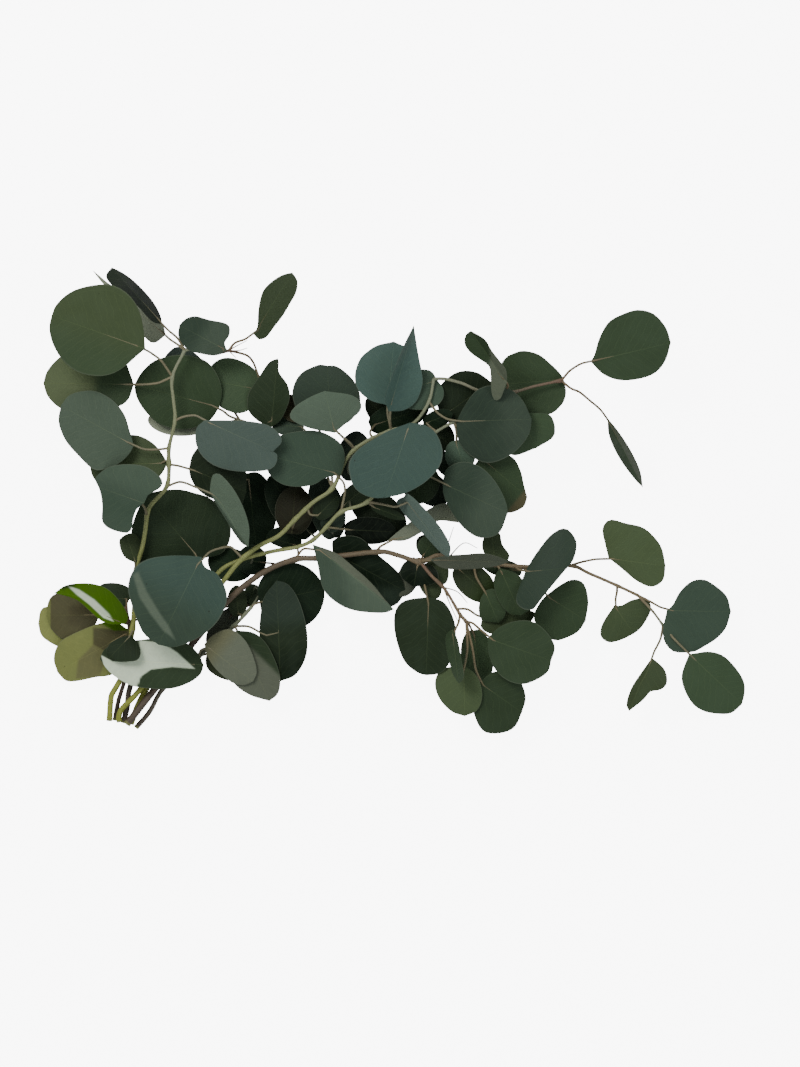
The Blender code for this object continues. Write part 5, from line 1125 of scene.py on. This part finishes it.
def mix(tree: bpy.types.NodeTree, share: object, first: object, second: object,
        kind: str = "MIX") -> bpy.types.NodeSocket:
    """Mix of two colours by a share."""
    node = tree.nodes.new("ShaderNodeMix")
    node.data_type = "RGBA"
    node.blend_type = kind
    for index, value in ((0, share), (6, first), (7, second)):
        if isinstance(value, bpy.types.NodeSocket):
            tree.links.new(value, node.inputs[index])
        elif index == 0:
            node.inputs[index].default_value = value
        else:
            node.inputs[index].default_value = (*tuple(value)[:3], 1.0)
    return node.outputs[2]


def attribute(tree: bpy.types.NodeTree, name: str) -> bpy.types.Node:
    """Reads an attribute of the mesh."""
    node = tree.nodes.new("ShaderNodeAttribute")
    node.attribute_name = name
    return node


class LeafEffects:
    """Node groups that blades share: veins, margin, bloom and specks."""

    def __init__(self) -> None:
        """Builds the groups."""
        self.veins = self.build_veins()
        self.bloom = self.build_bloom()

    def build_veins(self) -> bpy.types.NodeTree:
        """Midrib, side veins and margin masks from a blade's own coordinates.

        Returns:
            The group, with Place (along mm, side mm, share of the way to the margin) as input.
        """
        group = Group("blade_veins", {"Place": ("VECTOR", None), "Seed": ("VECTOR", None)},
                      {"Midrib": "FLOAT", "Veins": "FLOAT", "Margin": "FLOAT", "Height": "FLOAT"})
        tree = group.tree
        split = tree.nodes.new("ShaderNodeSeparateXYZ")
        tree.links.new(group.inputs.outputs["Place"], split.inputs[0])
        seed = tree.nodes.new("ShaderNodeSeparateXYZ")
        tree.links.new(group.inputs.outputs["Seed"], seed.inputs[0])
        along, side, edge = split.outputs[0], split.outputs[1], split.outputs[2]
        wobble_at = tree.nodes.new("ShaderNodeVectorMath")
        wobble_at.operation = "ADD"
        tree.links.new(group.inputs.outputs["Place"], wobble_at.inputs[0])
        tree.links.new(group.inputs.outputs["Seed"], wobble_at.inputs[1])
        wobble = noise(tree, wobble_at.outputs[0], 0.09, 2.0)
        away = group.math("ABSOLUTE", side)
        taper = group.math("SUBTRACT", 1.0, group.math("MULTIPLY", seed.outputs[1], 0.7))
        thick = group.math("MULTIPLY", taper, 0.5)
        rib = ramp(tree, group.math("DIVIDE", away, thick), 0.35, 1.25, 1.0, 0.0)
        lean = group.math("MULTIPLY", group.math("POWER", away, 0.86), 1.25)
        flow = group.math("SUBTRACT", along, lean)
        flow = group.math("ADD", flow, group.math("MULTIPLY", group.math("SUBTRACT", wobble, 0.5), 7.0))
        flip = group.math("MULTIPLY", group.math("SIGN", side), 1.7)
        flow = group.math("ADD", flow, flip)
        major = self.stripes(group, flow, 6.4, 0.30)
        minor = self.stripes(group, group.math("ADD", flow, 1.3), 2.35, 0.20)
        fade = ramp(tree, edge, 0.80, 0.98, 1.0, 0.15)
        veins = group.math("MULTIPLY", group.math("MAXIMUM", major, group.math("MULTIPLY", minor, 0.35)), fade)
        inset = group.math("ABSOLUTE", group.math("SUBTRACT", edge, 0.88))
        ring = ramp(tree, inset, 0.0, 0.016, 0.6, 0.0)
        margin = ramp(tree, edge, 0.962, 0.988)
        all_veins = group.math("MAXIMUM", veins, ring)
        height = group.math("SUBTRACT", group.math("MULTIPLY", all_veins, -0.5),
                            group.math("MULTIPLY", rib, 1.0))
        group.out("Midrib", rib)
        group.out("Veins", all_veins)
        group.out("Margin", margin)
        group.out("Height", height)
        return tree

    def stripes(self, group: Group, flow: bpy.types.NodeSocket, spacing: float,
                width: float) -> bpy.types.NodeSocket:
        """Thin lines at an even spacing.

        Args:
            group: Group that gets the nodes.
            flow: Distance across the lines, in millimetres.
            spacing: Distance between lines.
            width: Half width of a line.

        Returns:
            1 on a line and 0 between lines.
        """
        turn = group.math("FRACT", group.math("DIVIDE", flow, spacing))
        apart = group.math("MULTIPLY", group.math("ABSOLUTE", group.math("SUBTRACT", turn, 0.5)), spacing)
        return ramp(group.tree, apart, width * 0.3, width * 1.6, 1.0, 0.0)

    def build_bloom(self) -> bpy.types.NodeTree:
        """Waxy bloom, mottling and specks over a blade.

        Returns:
            The group, with the masks Bloom, Mottle and Specks.
        """
        group = Group("blade_bloom", {"Where": ("VECTOR", None)},
                      {"Bloom": "FLOAT", "Mottle": "FLOAT", "Specks": "FLOAT", "Grain": "FLOAT"})
        tree = group.tree
        where = group.inputs.outputs["Where"]
        group.out("Bloom", ramp(tree, noise(tree, where, 0.055, 3.0, 0.55), 0.36, 0.70))
        group.out("Mottle", ramp(tree, noise(tree, where, 0.22, 4.0, 0.6), 0.25, 0.78))
        spots = tree.nodes.new("ShaderNodeTexVoronoi")
        spots.inputs["Scale"].default_value = 0.06
        spots.inputs["Randomness"].default_value = 1.0
        tree.links.new(where, spots.inputs["Vector"])
        size = ramp(tree, noise(tree, where, 0.7, 2.0), 0.3, 0.8, 0.02, 0.055)
        near = tree.nodes.new("ShaderNodeMath")
        near.operation = "LESS_THAN"
        tree.links.new(spots.outputs["Distance"], near.inputs[0])
        tree.links.new(size, near.inputs[1])
        group.out("Specks", near.outputs[0])
        group.out("Grain", noise(tree, where, 1.6, 3.0, 0.6))
        return tree


@dataclass(frozen=True)
class LeafFinish:
    """Leathery, waxy leaf surface that takes its tint from the mesh."""

    name: str
    roughness: float = 0.56
    sheen: float = 0.04
    rib: Tint = Tint.OLIVE
    rim: Tint = Tint.ASH

    def material(self, effects: LeafEffects) -> bpy.types.Material:
        """Builds the material.

        Args:
            effects: The shared node groups.

        Returns:
            The material.
        """
        made = bpy.data.materials.new(self.name)
        made.use_nodes = True
        tree = made.node_tree
        shader = tree.nodes["Principled BSDF"]
        tone = attribute(tree, "tone")
        place = attribute(tree, "place")
        seed = attribute(tree, "seed")
        veins = tree.nodes.new("ShaderNodeGroup")
        veins.node_tree = effects.veins
        tree.links.new(place.outputs["Vector"], veins.inputs["Place"])
        tree.links.new(seed.outputs["Vector"], veins.inputs["Seed"])
        where = tree.nodes.new("ShaderNodeVectorMath")
        where.operation = "MULTIPLY_ADD"
        tree.links.new(seed.outputs["Vector"], where.inputs[0])
        where.inputs[1].default_value = (90.0, 0.0, 0.0)
        tree.links.new(place.outputs["Vector"], where.inputs[2])
        bloom = tree.nodes.new("ShaderNodeGroup")
        bloom.node_tree = effects.bloom
        tree.links.new(where.outputs[0], bloom.inputs["Where"])
        split = tree.nodes.new("ShaderNodeSeparateXYZ")
        tree.links.new(seed.outputs["Vector"], split.inputs[0])
        strength = split.outputs[2]
        base = tone.outputs["Color"]
        dark = mix(tree, 0.30, base, (0.010, 0.020, 0.010))
        waxy = mix(tree, 0.12, base, Tint.SAGE.rgb())
        colour = mix(tree, math_node(tree, "MULTIPLY", bloom.outputs["Mottle"], 0.45), base, dark)
        colour = mix(tree, math_node(tree, "MULTIPLY", bloom.outputs["Bloom"], 0.75), colour, waxy)
        pale = mix(tree, 0.3, mix(tree, 1.0, base, (1.55, 1.5, 1.4), "MULTIPLY"), self.rib.rgb())
        vein_share = math_node(tree, "MULTIPLY", veins.outputs["Veins"],
                               math_node(tree, "MULTIPLY", strength, 0.30))
        colour = mix(tree, vein_share, colour, pale)
        rib_share = math_node(tree, "MULTIPLY", veins.outputs["Midrib"],
                              math_node(tree, "MULTIPLY", strength, 0.7))
        colour = mix(tree, rib_share, colour, pale)
        colour = mix(tree, math_node(tree, "MULTIPLY", veins.outputs["Margin"], 0.35), colour, self.rim.rgb())
        colour = mix(tree, math_node(tree, "MULTIPLY", bloom.outputs["Specks"], 0.55), colour,
                     (0.018, 0.013, 0.008))
        tree.links.new(colour, shader.inputs["Base Color"])
        rough = math_node(tree, "ADD", self.roughness,
                          math_node(tree, "MULTIPLY", math_node(tree, "SUBTRACT", bloom.outputs["Bloom"], 0.5), 0.16))
        tree.links.new(rough, shader.inputs["Roughness"])
        bump = tree.nodes.new("ShaderNodeBump")
        bump.inputs["Strength"].default_value = 0.35
        bump.inputs["Distance"].default_value = 0.0004
        lumps = math_node(tree, "ADD", veins.outputs["Height"],
                          math_node(tree, "MULTIPLY", bloom.outputs["Grain"], 0.5))
        tree.links.new(lumps, bump.inputs["Height"])
        tree.links.new(bump.outputs["Normal"], shader.inputs["Normal"])
        shader.inputs["Specular IOR Level"].default_value = 0.08
        return made


@dataclass(frozen=True)
class BarkFinish:
    """Young bark and leaf stalks: tint from the mesh, with lengthwise streaks and pores."""

    name: str
    roughness: float = 0.52

    def material(self) -> bpy.types.Material:
        """Builds the material."""
        made = bpy.data.materials.new(self.name)
        made.use_nodes = True
        tree = made.node_tree
        shader = tree.nodes["Principled BSDF"]
        tone = attribute(tree, "tone")
        place = attribute(tree, "place")
        squeeze = tree.nodes.new("ShaderNodeVectorMath")
        squeeze.operation = "MULTIPLY"
        tree.links.new(place.outputs["Vector"], squeeze.inputs[0])
        squeeze.inputs[1].default_value = (0.22, 1.0, 1.0)
        streak = noise(tree, squeeze.outputs[0], 1.1, 4.0, 0.6)
        pores = noise(tree, place.outputs["Vector"], 0.9, 3.0, 0.5)
        base = tone.outputs["Color"]
        dark = mix(tree, 0.6, base, (0.018, 0.010, 0.008))
        light = mix(tree, 1.0, base, (1.5, 1.45, 1.3), "MULTIPLY")
        colour = mix(tree, ramp(tree, streak, 0.42, 0.68), light, base)
        colour = mix(tree, ramp(tree, pores, 0.58, 0.66, 0.0, 0.7), colour, dark)
        tree.links.new(colour, shader.inputs["Base Color"])
        rough = math_node(tree, "ADD", self.roughness, math_node(tree, "MULTIPLY", streak, 0.2))
        tree.links.new(rough, shader.inputs["Roughness"])
        bump = tree.nodes.new("ShaderNodeBump")
        bump.inputs["Strength"].default_value = 0.5
        bump.inputs["Distance"].default_value = 0.0005
        tree.links.new(streak, bump.inputs["Height"])
        tree.links.new(bump.outputs["Normal"], shader.inputs["Normal"])
        return made


class Sheet:
    """Points, faces and vertex data of one piece while it is put together."""

    def __init__(self) -> None:
        """Starts empty."""
        self.points: list[np.ndarray] = []
        self.faces: list[np.ndarray] = []
        self.data: dict[str, list[np.ndarray]] = {"tone": [], "place": [], "seed": []}
        self.count = 0

    def add(self, points: np.ndarray, faces: np.ndarray, tone: np.ndarray, place: np.ndarray,
            seed: np.ndarray) -> None:
        """Adds one shell.

        Args:
            points: Positions in millimetres in plan coordinates.
            faces: Triangles, or rows of four with the last repeated for a triangle.
            tone: Linear colour of each point, with painted light and shade included.
            place: The point's own coordinates on its blade or twig, in millimetres.
            seed: A random number, the share of the way along, and the strength of the veins.
        """
        self.points.append(points)
        self.faces.append(faces + self.count)
        for key, values in (("tone", tone), ("place", place), ("seed", seed)):
            self.data[key].append(np.broadcast_to(values, (len(points), 3)))
        self.count += len(points)

    def build(self, name: str, material: bpy.types.Material) -> bpy.types.Object:
        """Makes the object.

        Args:
            name: Name of the piece.
            material: Its material.

        Returns:
            The object, linked to the scene.
        """
        points = (np.concatenate(self.points) + np.array(SHIFT)) * MM
        quads = np.concatenate(self.faces)
        faces = [tuple(row[:3]) if row[2] == row[3] else tuple(row) for row in quads.tolist()]
        mesh = bpy.data.meshes.new(name)
        mesh.from_pydata(points.tolist(), [], faces)
        tone = mesh.attributes.new("tone", "FLOAT_COLOR", "POINT")
        colour = np.column_stack([np.concatenate(self.data["tone"]), np.ones(self.count)])
        tone.data.foreach_set("color", colour.astype(np.float32).ravel())
        for key in ("place", "seed"):
            layer = mesh.attributes.new(key, "FLOAT_VECTOR", "POINT")
            layer.data.foreach_set("vector", np.concatenate(self.data[key]).astype(np.float32).ravel())
        mesh.polygons.foreach_set("use_smooth", [True] * len(mesh.polygons))
        mesh.materials.append(material)
        made = bpy.data.objects.new(name, mesh)
        bpy.context.scene.collection.objects.link(made)
        return made


@dataclass
class BladeShell:
    """Closed thin shell of one blade, finer than the CAD's."""

    blade: Blade
    look: Look
    height: float
    rows: int = 34
    columns: int = 22
    ripple: float = 0.35

    def random(self) -> np.random.Generator:
        """The blade's own random numbers."""
        names = [blade.name for blade in (*BLADES, *(under.blade for under in UNDERS))]
        number = names.index(self.blade.name)
        return np.random.default_rng(1000 + number)

    def surface(self, u: np.ndarray, v: np.ndarray) -> np.ndarray:
        """Middle surface of the blade with its small ripples.

        Args:
            u: From 0 at the base to 1 at the tip.
            v: From -1 to 1 across.

        Returns:
            Points in millimetres.
        """
        x, y, rise = blade_point(self.blade, u, v)
        draw = self.random()
        width = (self.blade.left + self.blade.right) / 2
        size = min(self.ripple, 0.012 * width)
        edge = np.abs(v) ** 3
        phase = draw.uniform(0, 6.28, 6)
        wave = np.sin(7 * u * math.pi + phase[0]) + 0.6 * np.sin(12 * u * math.pi + phase[1] + 2 * np.sign(v))
        flat = 0.35 * np.sin(5.2 * u + 3.1 * v + phase[2]) + 0.3 * np.sin(4 * v - 6 * u + phase[3])
        rise = rise + size * (0.55 * wave * edge + flat)
        return np.stack([x, y, self.height + rise], axis=-1)

    def tones(self, x: np.ndarray, y: np.ndarray, along: np.ndarray, side: np.ndarray) -> np.ndarray:
        """Linear colour over the blade, with its painted light and shade.

        Args:
            x: Plan X.
            y: Plan Y.
            along: Share of the way from base to tip.
            side: Share of the way out to a side.

        Returns:
            One colour a point.
        """
        colour = np.broadcast_to(self.look.tint.rgb(), (*along.shape, 3))
        for fade in self.look.fades:
            angle = math.radians(fade.angle)
            where = math.cos(angle) * (2 * along - 1) + math.sin(angle) * side
            share = fade.most * smoothstep((where - fade.edge) / fade.soft + 0.5)
            colour = colour + share[..., None] * (fade.tint.rgb() - colour)
        # The brightness paints the blade's share of light or shade.
        colour = colour * self.look.light
        # Painted sunlit patches, shadows, shade and lit rims go on last.
        for patch in LIGHT_AND_SHADE_PATCHES.get(self.blade.name, ()):
            colour = colour + patch.share(x, y)[..., None] * (patch.tint.rgb() - colour)
        return colour

    def add_to(self, sheet: Sheet) -> None:
        """Adds both faces and the rim."""
        turn = np.linspace(0, math.pi, self.rows + 1)
        u_line = 0.5 - 0.5 * np.cos(turn)
        v_line = np.sin(np.linspace(-math.pi / 2, math.pi / 2, self.columns + 1))
        u, v = np.meshgrid(u_line, v_line, indexing="ij")
        points = self.surface(u, v)
        normal = np.cross(np.gradient(points, axis=0), np.gradient(points, axis=1))
        size = np.linalg.norm(normal, axis=-1, keepdims=True)
        normal = np.where(size > 1e-6, normal / np.maximum(size, 1e-9), (0, 0, 1))
        normal[0], normal[-1] = (0, 0, 1), (0, 0, 1)
        thin = (1 - 0.75 * np.abs(v) ** 6) * BLADE_THICKNESS / 2
        thin[0], thin[-1] = 0.12, 0.12
        up = points + normal * thin[..., None]
        down = points - normal * thin[..., None]
        blade = self.blade
        length = math.hypot(blade.tip[0] - blade.base[0], blade.tip[1] - blade.base[1])
        x, y, along, side = plan_point(blade, u, v)
        mid_x, mid_y, _, _ = plan_point(blade, u, np.zeros(u.shape))
        out = np.hypot(x - mid_x, y - mid_y) * np.sign(v)
        ends = 1 - np.minimum(1, np.minimum(u, 1 - u) / 0.03)
        place = np.stack([along * length, out, np.maximum(np.abs(v), ends)], axis=-1)
        tone = self.tones(x, y, along, side)
        draw = self.random()
        seed = np.stack([np.full(u.shape, draw.uniform(0, 9)), u, np.full(u.shape, self.look.veins)], axis=-1)
        if blade.grounded:
            down[..., 2] = np.maximum(down[..., 2], 0.0)
            up[..., 2] = np.maximum(up[..., 2], 0.2)
        rows, columns = u.shape
        index = np.arange(rows * columns).reshape(rows, columns)
        a, b, c, d = index[:-1, :-1], index[1:, :-1], index[1:, 1:], index[:-1, 1:]
        top = np.stack([a, b, c, d], axis=-1).reshape(-1, 4)
        bottom = top[:, ::-1] + rows * columns
        low, high = index[:, 0], index[:, -1]
        other = rows * columns
        rim = [(low[:-1], low[:-1] + other, low[1:] + other, low[1:]),
               (high[1:], high[1:] + other, high[:-1] + other, high[:-1])]
        faces = np.concatenate([top, bottom] + [np.stack(r, axis=-1) for r in rim])
        both = [np.concatenate([part.reshape(-1, 3)] * 2) for part in (tone, place, seed)]
        shell = np.concatenate([up.reshape(-1, 3), down.reshape(-1, 3)])
        keep = np.linalg.norm(np.cross(shell[faces[:, 1]] - shell[faces[:, 0]],
                                       shell[faces[:, 2]] - shell[faces[:, 0]]), axis=1)
        keep += np.linalg.norm(np.cross(shell[faces[:, 2]] - shell[faces[:, 0]],
                                        shell[faces[:, 3]] - shell[faces[:, 0]]), axis=1)
        sheet.add(shell, faces[keep > 1e-7], *both)


@dataclass
class Twig:
    """Round tapering tube along a route."""

    points: np.ndarray
    radius: np.ndarray
    first: np.ndarray
    last: np.ndarray
    sides: int = 12
    swell: tuple = ()
    cut: bool = False
    offset: float = 0.0

    def add_to(self, sheet: Sheet) -> None:
        """Adds the tube and its end caps."""
        points, count, sides = self.points, len(self.points), self.sides
        way = np.gradient(points, axis=0)
        way /= np.maximum(np.linalg.norm(way, axis=1, keepdims=True), 1e-9)
        side = np.cross(way, (0.0, 0.0, 1.0))
        side /= np.maximum(np.linalg.norm(side, axis=1, keepdims=True), 1e-6)
        over = np.cross(side, way)
        radius = np.array(self.radius, float)
        for spot, more in self.swell:
            apart = np.linalg.norm(points[:, :2] - np.array(spot)[:2], axis=1)
            radius = radius * (1 + more * np.exp(-(apart / 3.2) ** 2))
        turn = np.linspace(0, 2 * math.pi, sides, endpoint=False)
        ring = (np.cos(turn)[None, :, None] * side[:, None] + np.sin(turn)[None, :, None] * over[:, None])
        shell = points[:, None] + ring * radius[:, None, None]
        steps = np.concatenate([[0], np.cumsum(np.linalg.norm(np.diff(points, axis=0), axis=1))])
        share = steps / max(steps[-1], 1e-6)
        tone = self.first + share[:, None] * (self.last - self.first)
        tone = np.repeat(tone[:, None], sides, axis=1)
        # Painted shade: every ring is darker underneath and lighter on top.
        under = 0.5 + 0.5 * np.sin(turn)
        tone = tone * (0.72 + 0.34 * under)[None, :, None]
        place = np.stack(np.broadcast_arrays(steps[:, None] + self.offset, (np.cos(turn) * 3)[None],
                                             (np.sin(turn) * 3)[None]), axis=-1)
        seed = np.stack(np.broadcast_arrays(self.offset, share[:, None], np.ones(sides)[None]), axis=-1)
        index = np.arange(count * sides).reshape(count, sides)
        after = np.roll(index, -1, axis=1)
        faces = np.stack([index[:-1], after[:-1], after[1:], index[1:]], axis=-1).reshape(-1, 4)
        shell, tone = shell.reshape(-1, 3), tone.reshape(-1, 3)
        place, seed = place.reshape(-1, 3), np.array(seed).reshape(-1, 3)
        ends, caps = [points[0] - way[0] * 0.15 * radius[0], points[-1] + way[-1] * 0.3 * radius[-1]], []
        for k in range(sides):
            after_k = (k + 1) % sides
            caps.append((count * sides, after_k, k, k))
            last = (count - 1) * sides
            caps.append((count * sides + 1, last + k, last + after_k, last + after_k))
        faces = np.concatenate([faces, np.array(caps)])
        shell = np.concatenate([shell, ends])
        pale = Tint.STRAW.rgb() * 1.1 if self.cut else self.first
        tone = np.concatenate([tone, [pale, self.last]])
        place = np.concatenate([place, [(self.offset, 0, 0), (self.offset + steps[-1], 0, 0)]])
        seed = np.concatenate([seed, seed[:1], seed[-1:]])
        if self.cut:
            tone[:sides] = pale * 0.8
        sheet.add(shell, faces, tone, place, seed)


@dataclass
class LeafyStem:
    """One leafy stem of the bunch: its blades and its wood."""

    node: str
    slot: str
    settling: Settling
    blades: LeafFinish
    bark: BarkFinish
    effects: LeafEffects
    stem_sides: int = 14
    stalk_sides: int = 8
    rib_reach: float = 0.62
    pieces: list = field(default_factory=list)

    def runs(self) -> list[Run]:
        """The woody runs of this stem."""
        return [run for run in RUNS if run.node == self.node]

    def own_blades(self) -> list[tuple[int, Blade]]:
        """The blades of this stem with their numbers."""
        names = {run.name for run in self.runs()}
        return [(i, blade) for i, blade in enumerate(BLADES) if blade.stem in names]

    def own_unders(self) -> list[Under]:
        """The shaded low leaves of this stem."""
        names = {run.name for run in self.runs()}
        return [under for under in UNDERS if under.blade.stem in names]

    def build(self) -> None:
        """Makes both pieces and ties them to the frame."""
        leaves, wood = Sheet(), Sheet()
        for number, blade in self.own_blades():
            # Blades with painted light patches get a finer mesh, so their edges stay crisp.
            fine = (100, 72) if blade.name in LIGHT_AND_SHADE_PATCHES else (34, 22)
            BladeShell(blade, LOOKS[blade.name], self.settling.base_height(number), *fine).add_to(leaves)
            self.add_stalk(wood, number, blade)
        for under in self.own_unders():
            BladeShell(under.blade, under.look, under.height).add_to(leaves)
            self.add_under_stalk(wood, under)
        for run in self.runs():
            self.add_run(wood, run)
            for name, plan in SHOOTS:
                if name == run.name:
                    self.add_shoot(wood, run, plan)
        made = [leaves.build(self.node + "_leaves", self.blades.material(self.effects)),
                wood.build(self.node + "_wood", self.bark.material())]
        for piece in made:
            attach(piece, "root")
            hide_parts(self.node)
        self.pieces = made

    def add_run(self, sheet: Sheet, run: Run) -> None:
        """Adds a stem or a branch of it, thicker where leaves join it."""
        route = smooth_route(self.settling.route(run.name), 2.5)
        radius = np.linspace(run.thick[0], run.thick[1], len(route))
        first, last = (tint.rgb() for tint in BARKS[run.name])
        spots = [blade.stalk[0] for blade in BLADES if blade.stem == run.name]
        swell = tuple((spot, 0.22) for spot in spots)
        Twig(route, radius, first, last, self.stem_sides, swell, not run.parent,
             10.0 * len(run.name) + run.route[0][1]).add_to(sheet)

    def add_shoot(self, sheet: Sheet, run: Run, plan: tuple) -> None:
        """Adds a bare shoot as thin as wire, which starts inside its run and rises a little."""
        way = smooth_route(self.settling.route(run.name), 2.5)
        start = way[np.hypot(*(way[:, :2] - np.array(plan[0])).T).argmin()]
        rows = [start, *((x, y, start[2] + 0.6 + 0.8 * k) for k, (x, y) in enumerate(plan[1:]))]
        points = smooth_route(rows, 2.0)
        bark = BARKS[run.name][1].rgb()
        Twig(points, np.linspace(0.65, 0.25, len(points)), bark, bark, self.stalk_sides).add_to(sheet)

    def add_stalk(self, sheet: Sheet, number: int, blade: Blade) -> None:
        """Adds a leaf stalk, which goes on as the rib under its blade."""
        route = smooth_route(self.settling.route("stalk " + blade.name), 2.0)
        height = self.settling.base_height(number)
        width = BLADE_THICKNESS / 2
        along = np.linspace(blade.joint[0][0], self.rib_reach, 12)
        x, y, rise = blade_point(blade, along, np.zeros(12))
        rib = np.column_stack([x, y, height + rise - width])
        route[-1, 2] = min(route[-1, 2], rib[0, 2])
        points = np.concatenate([route, rib[1:]])
        radius = np.concatenate([np.linspace(1.05, 0.85, len(route)), np.linspace(0.6, 0.15, 11)])
        points[:, 2] = np.maximum(points[:, 2], radius + 0.02)
        bark = 0.4 * BARKS[blade.stem][1].rgb() + 0.6 * Tint.STALK_TAN.rgb()
        end = 0.4 * Tint.STALK_TAN.rgb() + 0.7 * LOOKS[blade.name].tint.rgb()
        Twig(points, radius, bark, end, self.stalk_sides, offset=3.0 * number).add_to(sheet)


    def add_under_stalk(self, sheet: Sheet, under: Under) -> None:
        """Adds the stalk of a shaded leaf, from inside its stem down to the blade."""
        blade = under.blade
        run = smooth_route(self.settling.route(blade.stem), 2.5)
        start = run[np.hypot(*(run[:, :2] - np.array(blade.stalk[0])).T).argmin()]
        along = np.linspace(blade.joint[0][0], 0.5, 8)
        x, y, rise = blade_point(blade, along, np.zeros(8))
        rib = np.column_stack([x, y, under.height + rise - BLADE_THICKNESS / 2])
        bend = (*blade.stalk[1], 0.35 * start[2] + 0.65 * under.height)
        way = smooth_route((tuple(start), bend, tuple(rib[0])), 2.0)
        points = np.concatenate([way, rib[1:]])
        radius = np.concatenate([np.linspace(0.95, 0.8, len(way)), np.linspace(0.7, 0.2, 7)])
        # Painted shade: the stalks of the low shaded leaves are darkened.
        bark = 0.6 * BARKS[blade.stem][1].rgb()
        Twig(points, radius, bark, bark, self.stalk_sides, offset=under.height).add_to(sheet)


@dataclass
class Studio:
    """Camera above the bunch, white floor and soft light."""

    centre: tuple = (4.0 + SHIFT[0], -25.3 + SHIFT[1])
    mid_height: float = 45.0
    distance: float = 5.0
    view_height: float = 853.6
    white: float = 8.0

    def build(self) -> None:
        """Makes everything."""
        self.add_camera()
        self.add_floor()
        self.add_world()
        self.add_lights()

    def add_camera(self) -> None:
        """Straight down, with the photo's up along Y."""
        data = bpy.data.cameras.new("camera")
        data.sensor_fit = "AUTO"
        data.sensor_width = 36.0
        data.lens = 36.0 * self.distance * 1000 / self.view_height
        data.clip_end = 20.0
        made = bpy.data.objects.new("camera", data)
        made.location = (self.centre[0] * MM, self.centre[1] * MM, self.distance + self.mid_height * MM)
        bpy.context.scene.collection.objects.link(made)
        bpy.context.scene.camera = made

    def add_floor(self) -> None:
        """White surface that shows no shadow to the camera."""
        size = 4.0
        mesh = bpy.data.meshes.new("floor")
        mesh.from_pydata([(-size, -size, 0), (size, -size, 0), (size, size, 0), (-size, size, 0)], [],
                         [(0, 1, 2, 3)])
        made = bpy.data.objects.new("floor", mesh)
        made.location = (0, 0, -0.0005)
        bpy.context.scene.collection.objects.link(made)
        material = bpy.data.materials.new("floor")
        material.use_nodes = True
        tree = material.node_tree
        shader = tree.nodes["Principled BSDF"]
        shader.inputs["Base Color"].default_value = (0.8, 0.8, 0.8, 1.0)
        shader.inputs["Roughness"].default_value = 0.9
        path = tree.nodes.new("ShaderNodeLightPath")
        shader.inputs["Emission Color"].default_value = (1.0, 1.0, 1.0, 1.0)
        glow = math_node(tree, "MULTIPLY", path.outputs["Is Camera Ray"], self.white)
        tree.links.new(glow, shader.inputs["Emission Strength"])
        mesh.materials.append(material)

    def add_world(self) -> None:
        """Even pale light from all round."""
        world = bpy.data.worlds.new("studio")
        world.use_nodes = True
        back = world.node_tree.nodes["Background"]
        back.inputs["Color"].default_value = (0.93, 0.97, 1.0, 1.0)
        back.inputs["Strength"].default_value = 0.55
        bpy.context.scene.world = world

    def add_lights(self) -> None:
        """A large soft light from the upper left and a smaller one from the right."""
        for name, place, size, power, tint in (
            ("key", (-1.1, 1.2, 2.2), 1.2, 40.0, (1.0, 0.98, 0.95)),
            ("fill", (1.4, -0.6, 2.0), 1.6, 10.5, (0.94, 0.97, 1.0)),
        ):
            data = bpy.data.lights.new(name, "AREA")
            data.shape = "DISK"
            data.size = size
            data.energy = power
            data.color = tint
            made = bpy.data.objects.new(name, data)
            made.location = place
            way = np.array(place)
            made.rotation_euler = (math.acos(way[2] / np.linalg.norm(way)), 0.0,
                                   math.atan2(way[1], way[0]) + math.pi / 2)
            bpy.context.scene.collection.objects.link(made)


def main() -> None:
    """Builds the bunch in order and reports each piece."""
    logging.basicConfig(level=logging.INFO, format="%(message)s")
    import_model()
    settling = Settling()
    effects = LeafEffects()
    for node, slot in STEM_SLOTS:
        stem = LeafyStem(node, slot, settling, LeafFinish(node + "_leaf"), BarkFinish(node + "_bark"), effects)
        stem.build()
        for piece in stem.pieces:
            log.info("%s: %d faces, %s", piece.name, len(piece.data.polygons), node)
    Studio().build()


if __name__ == "__main__":
    main()
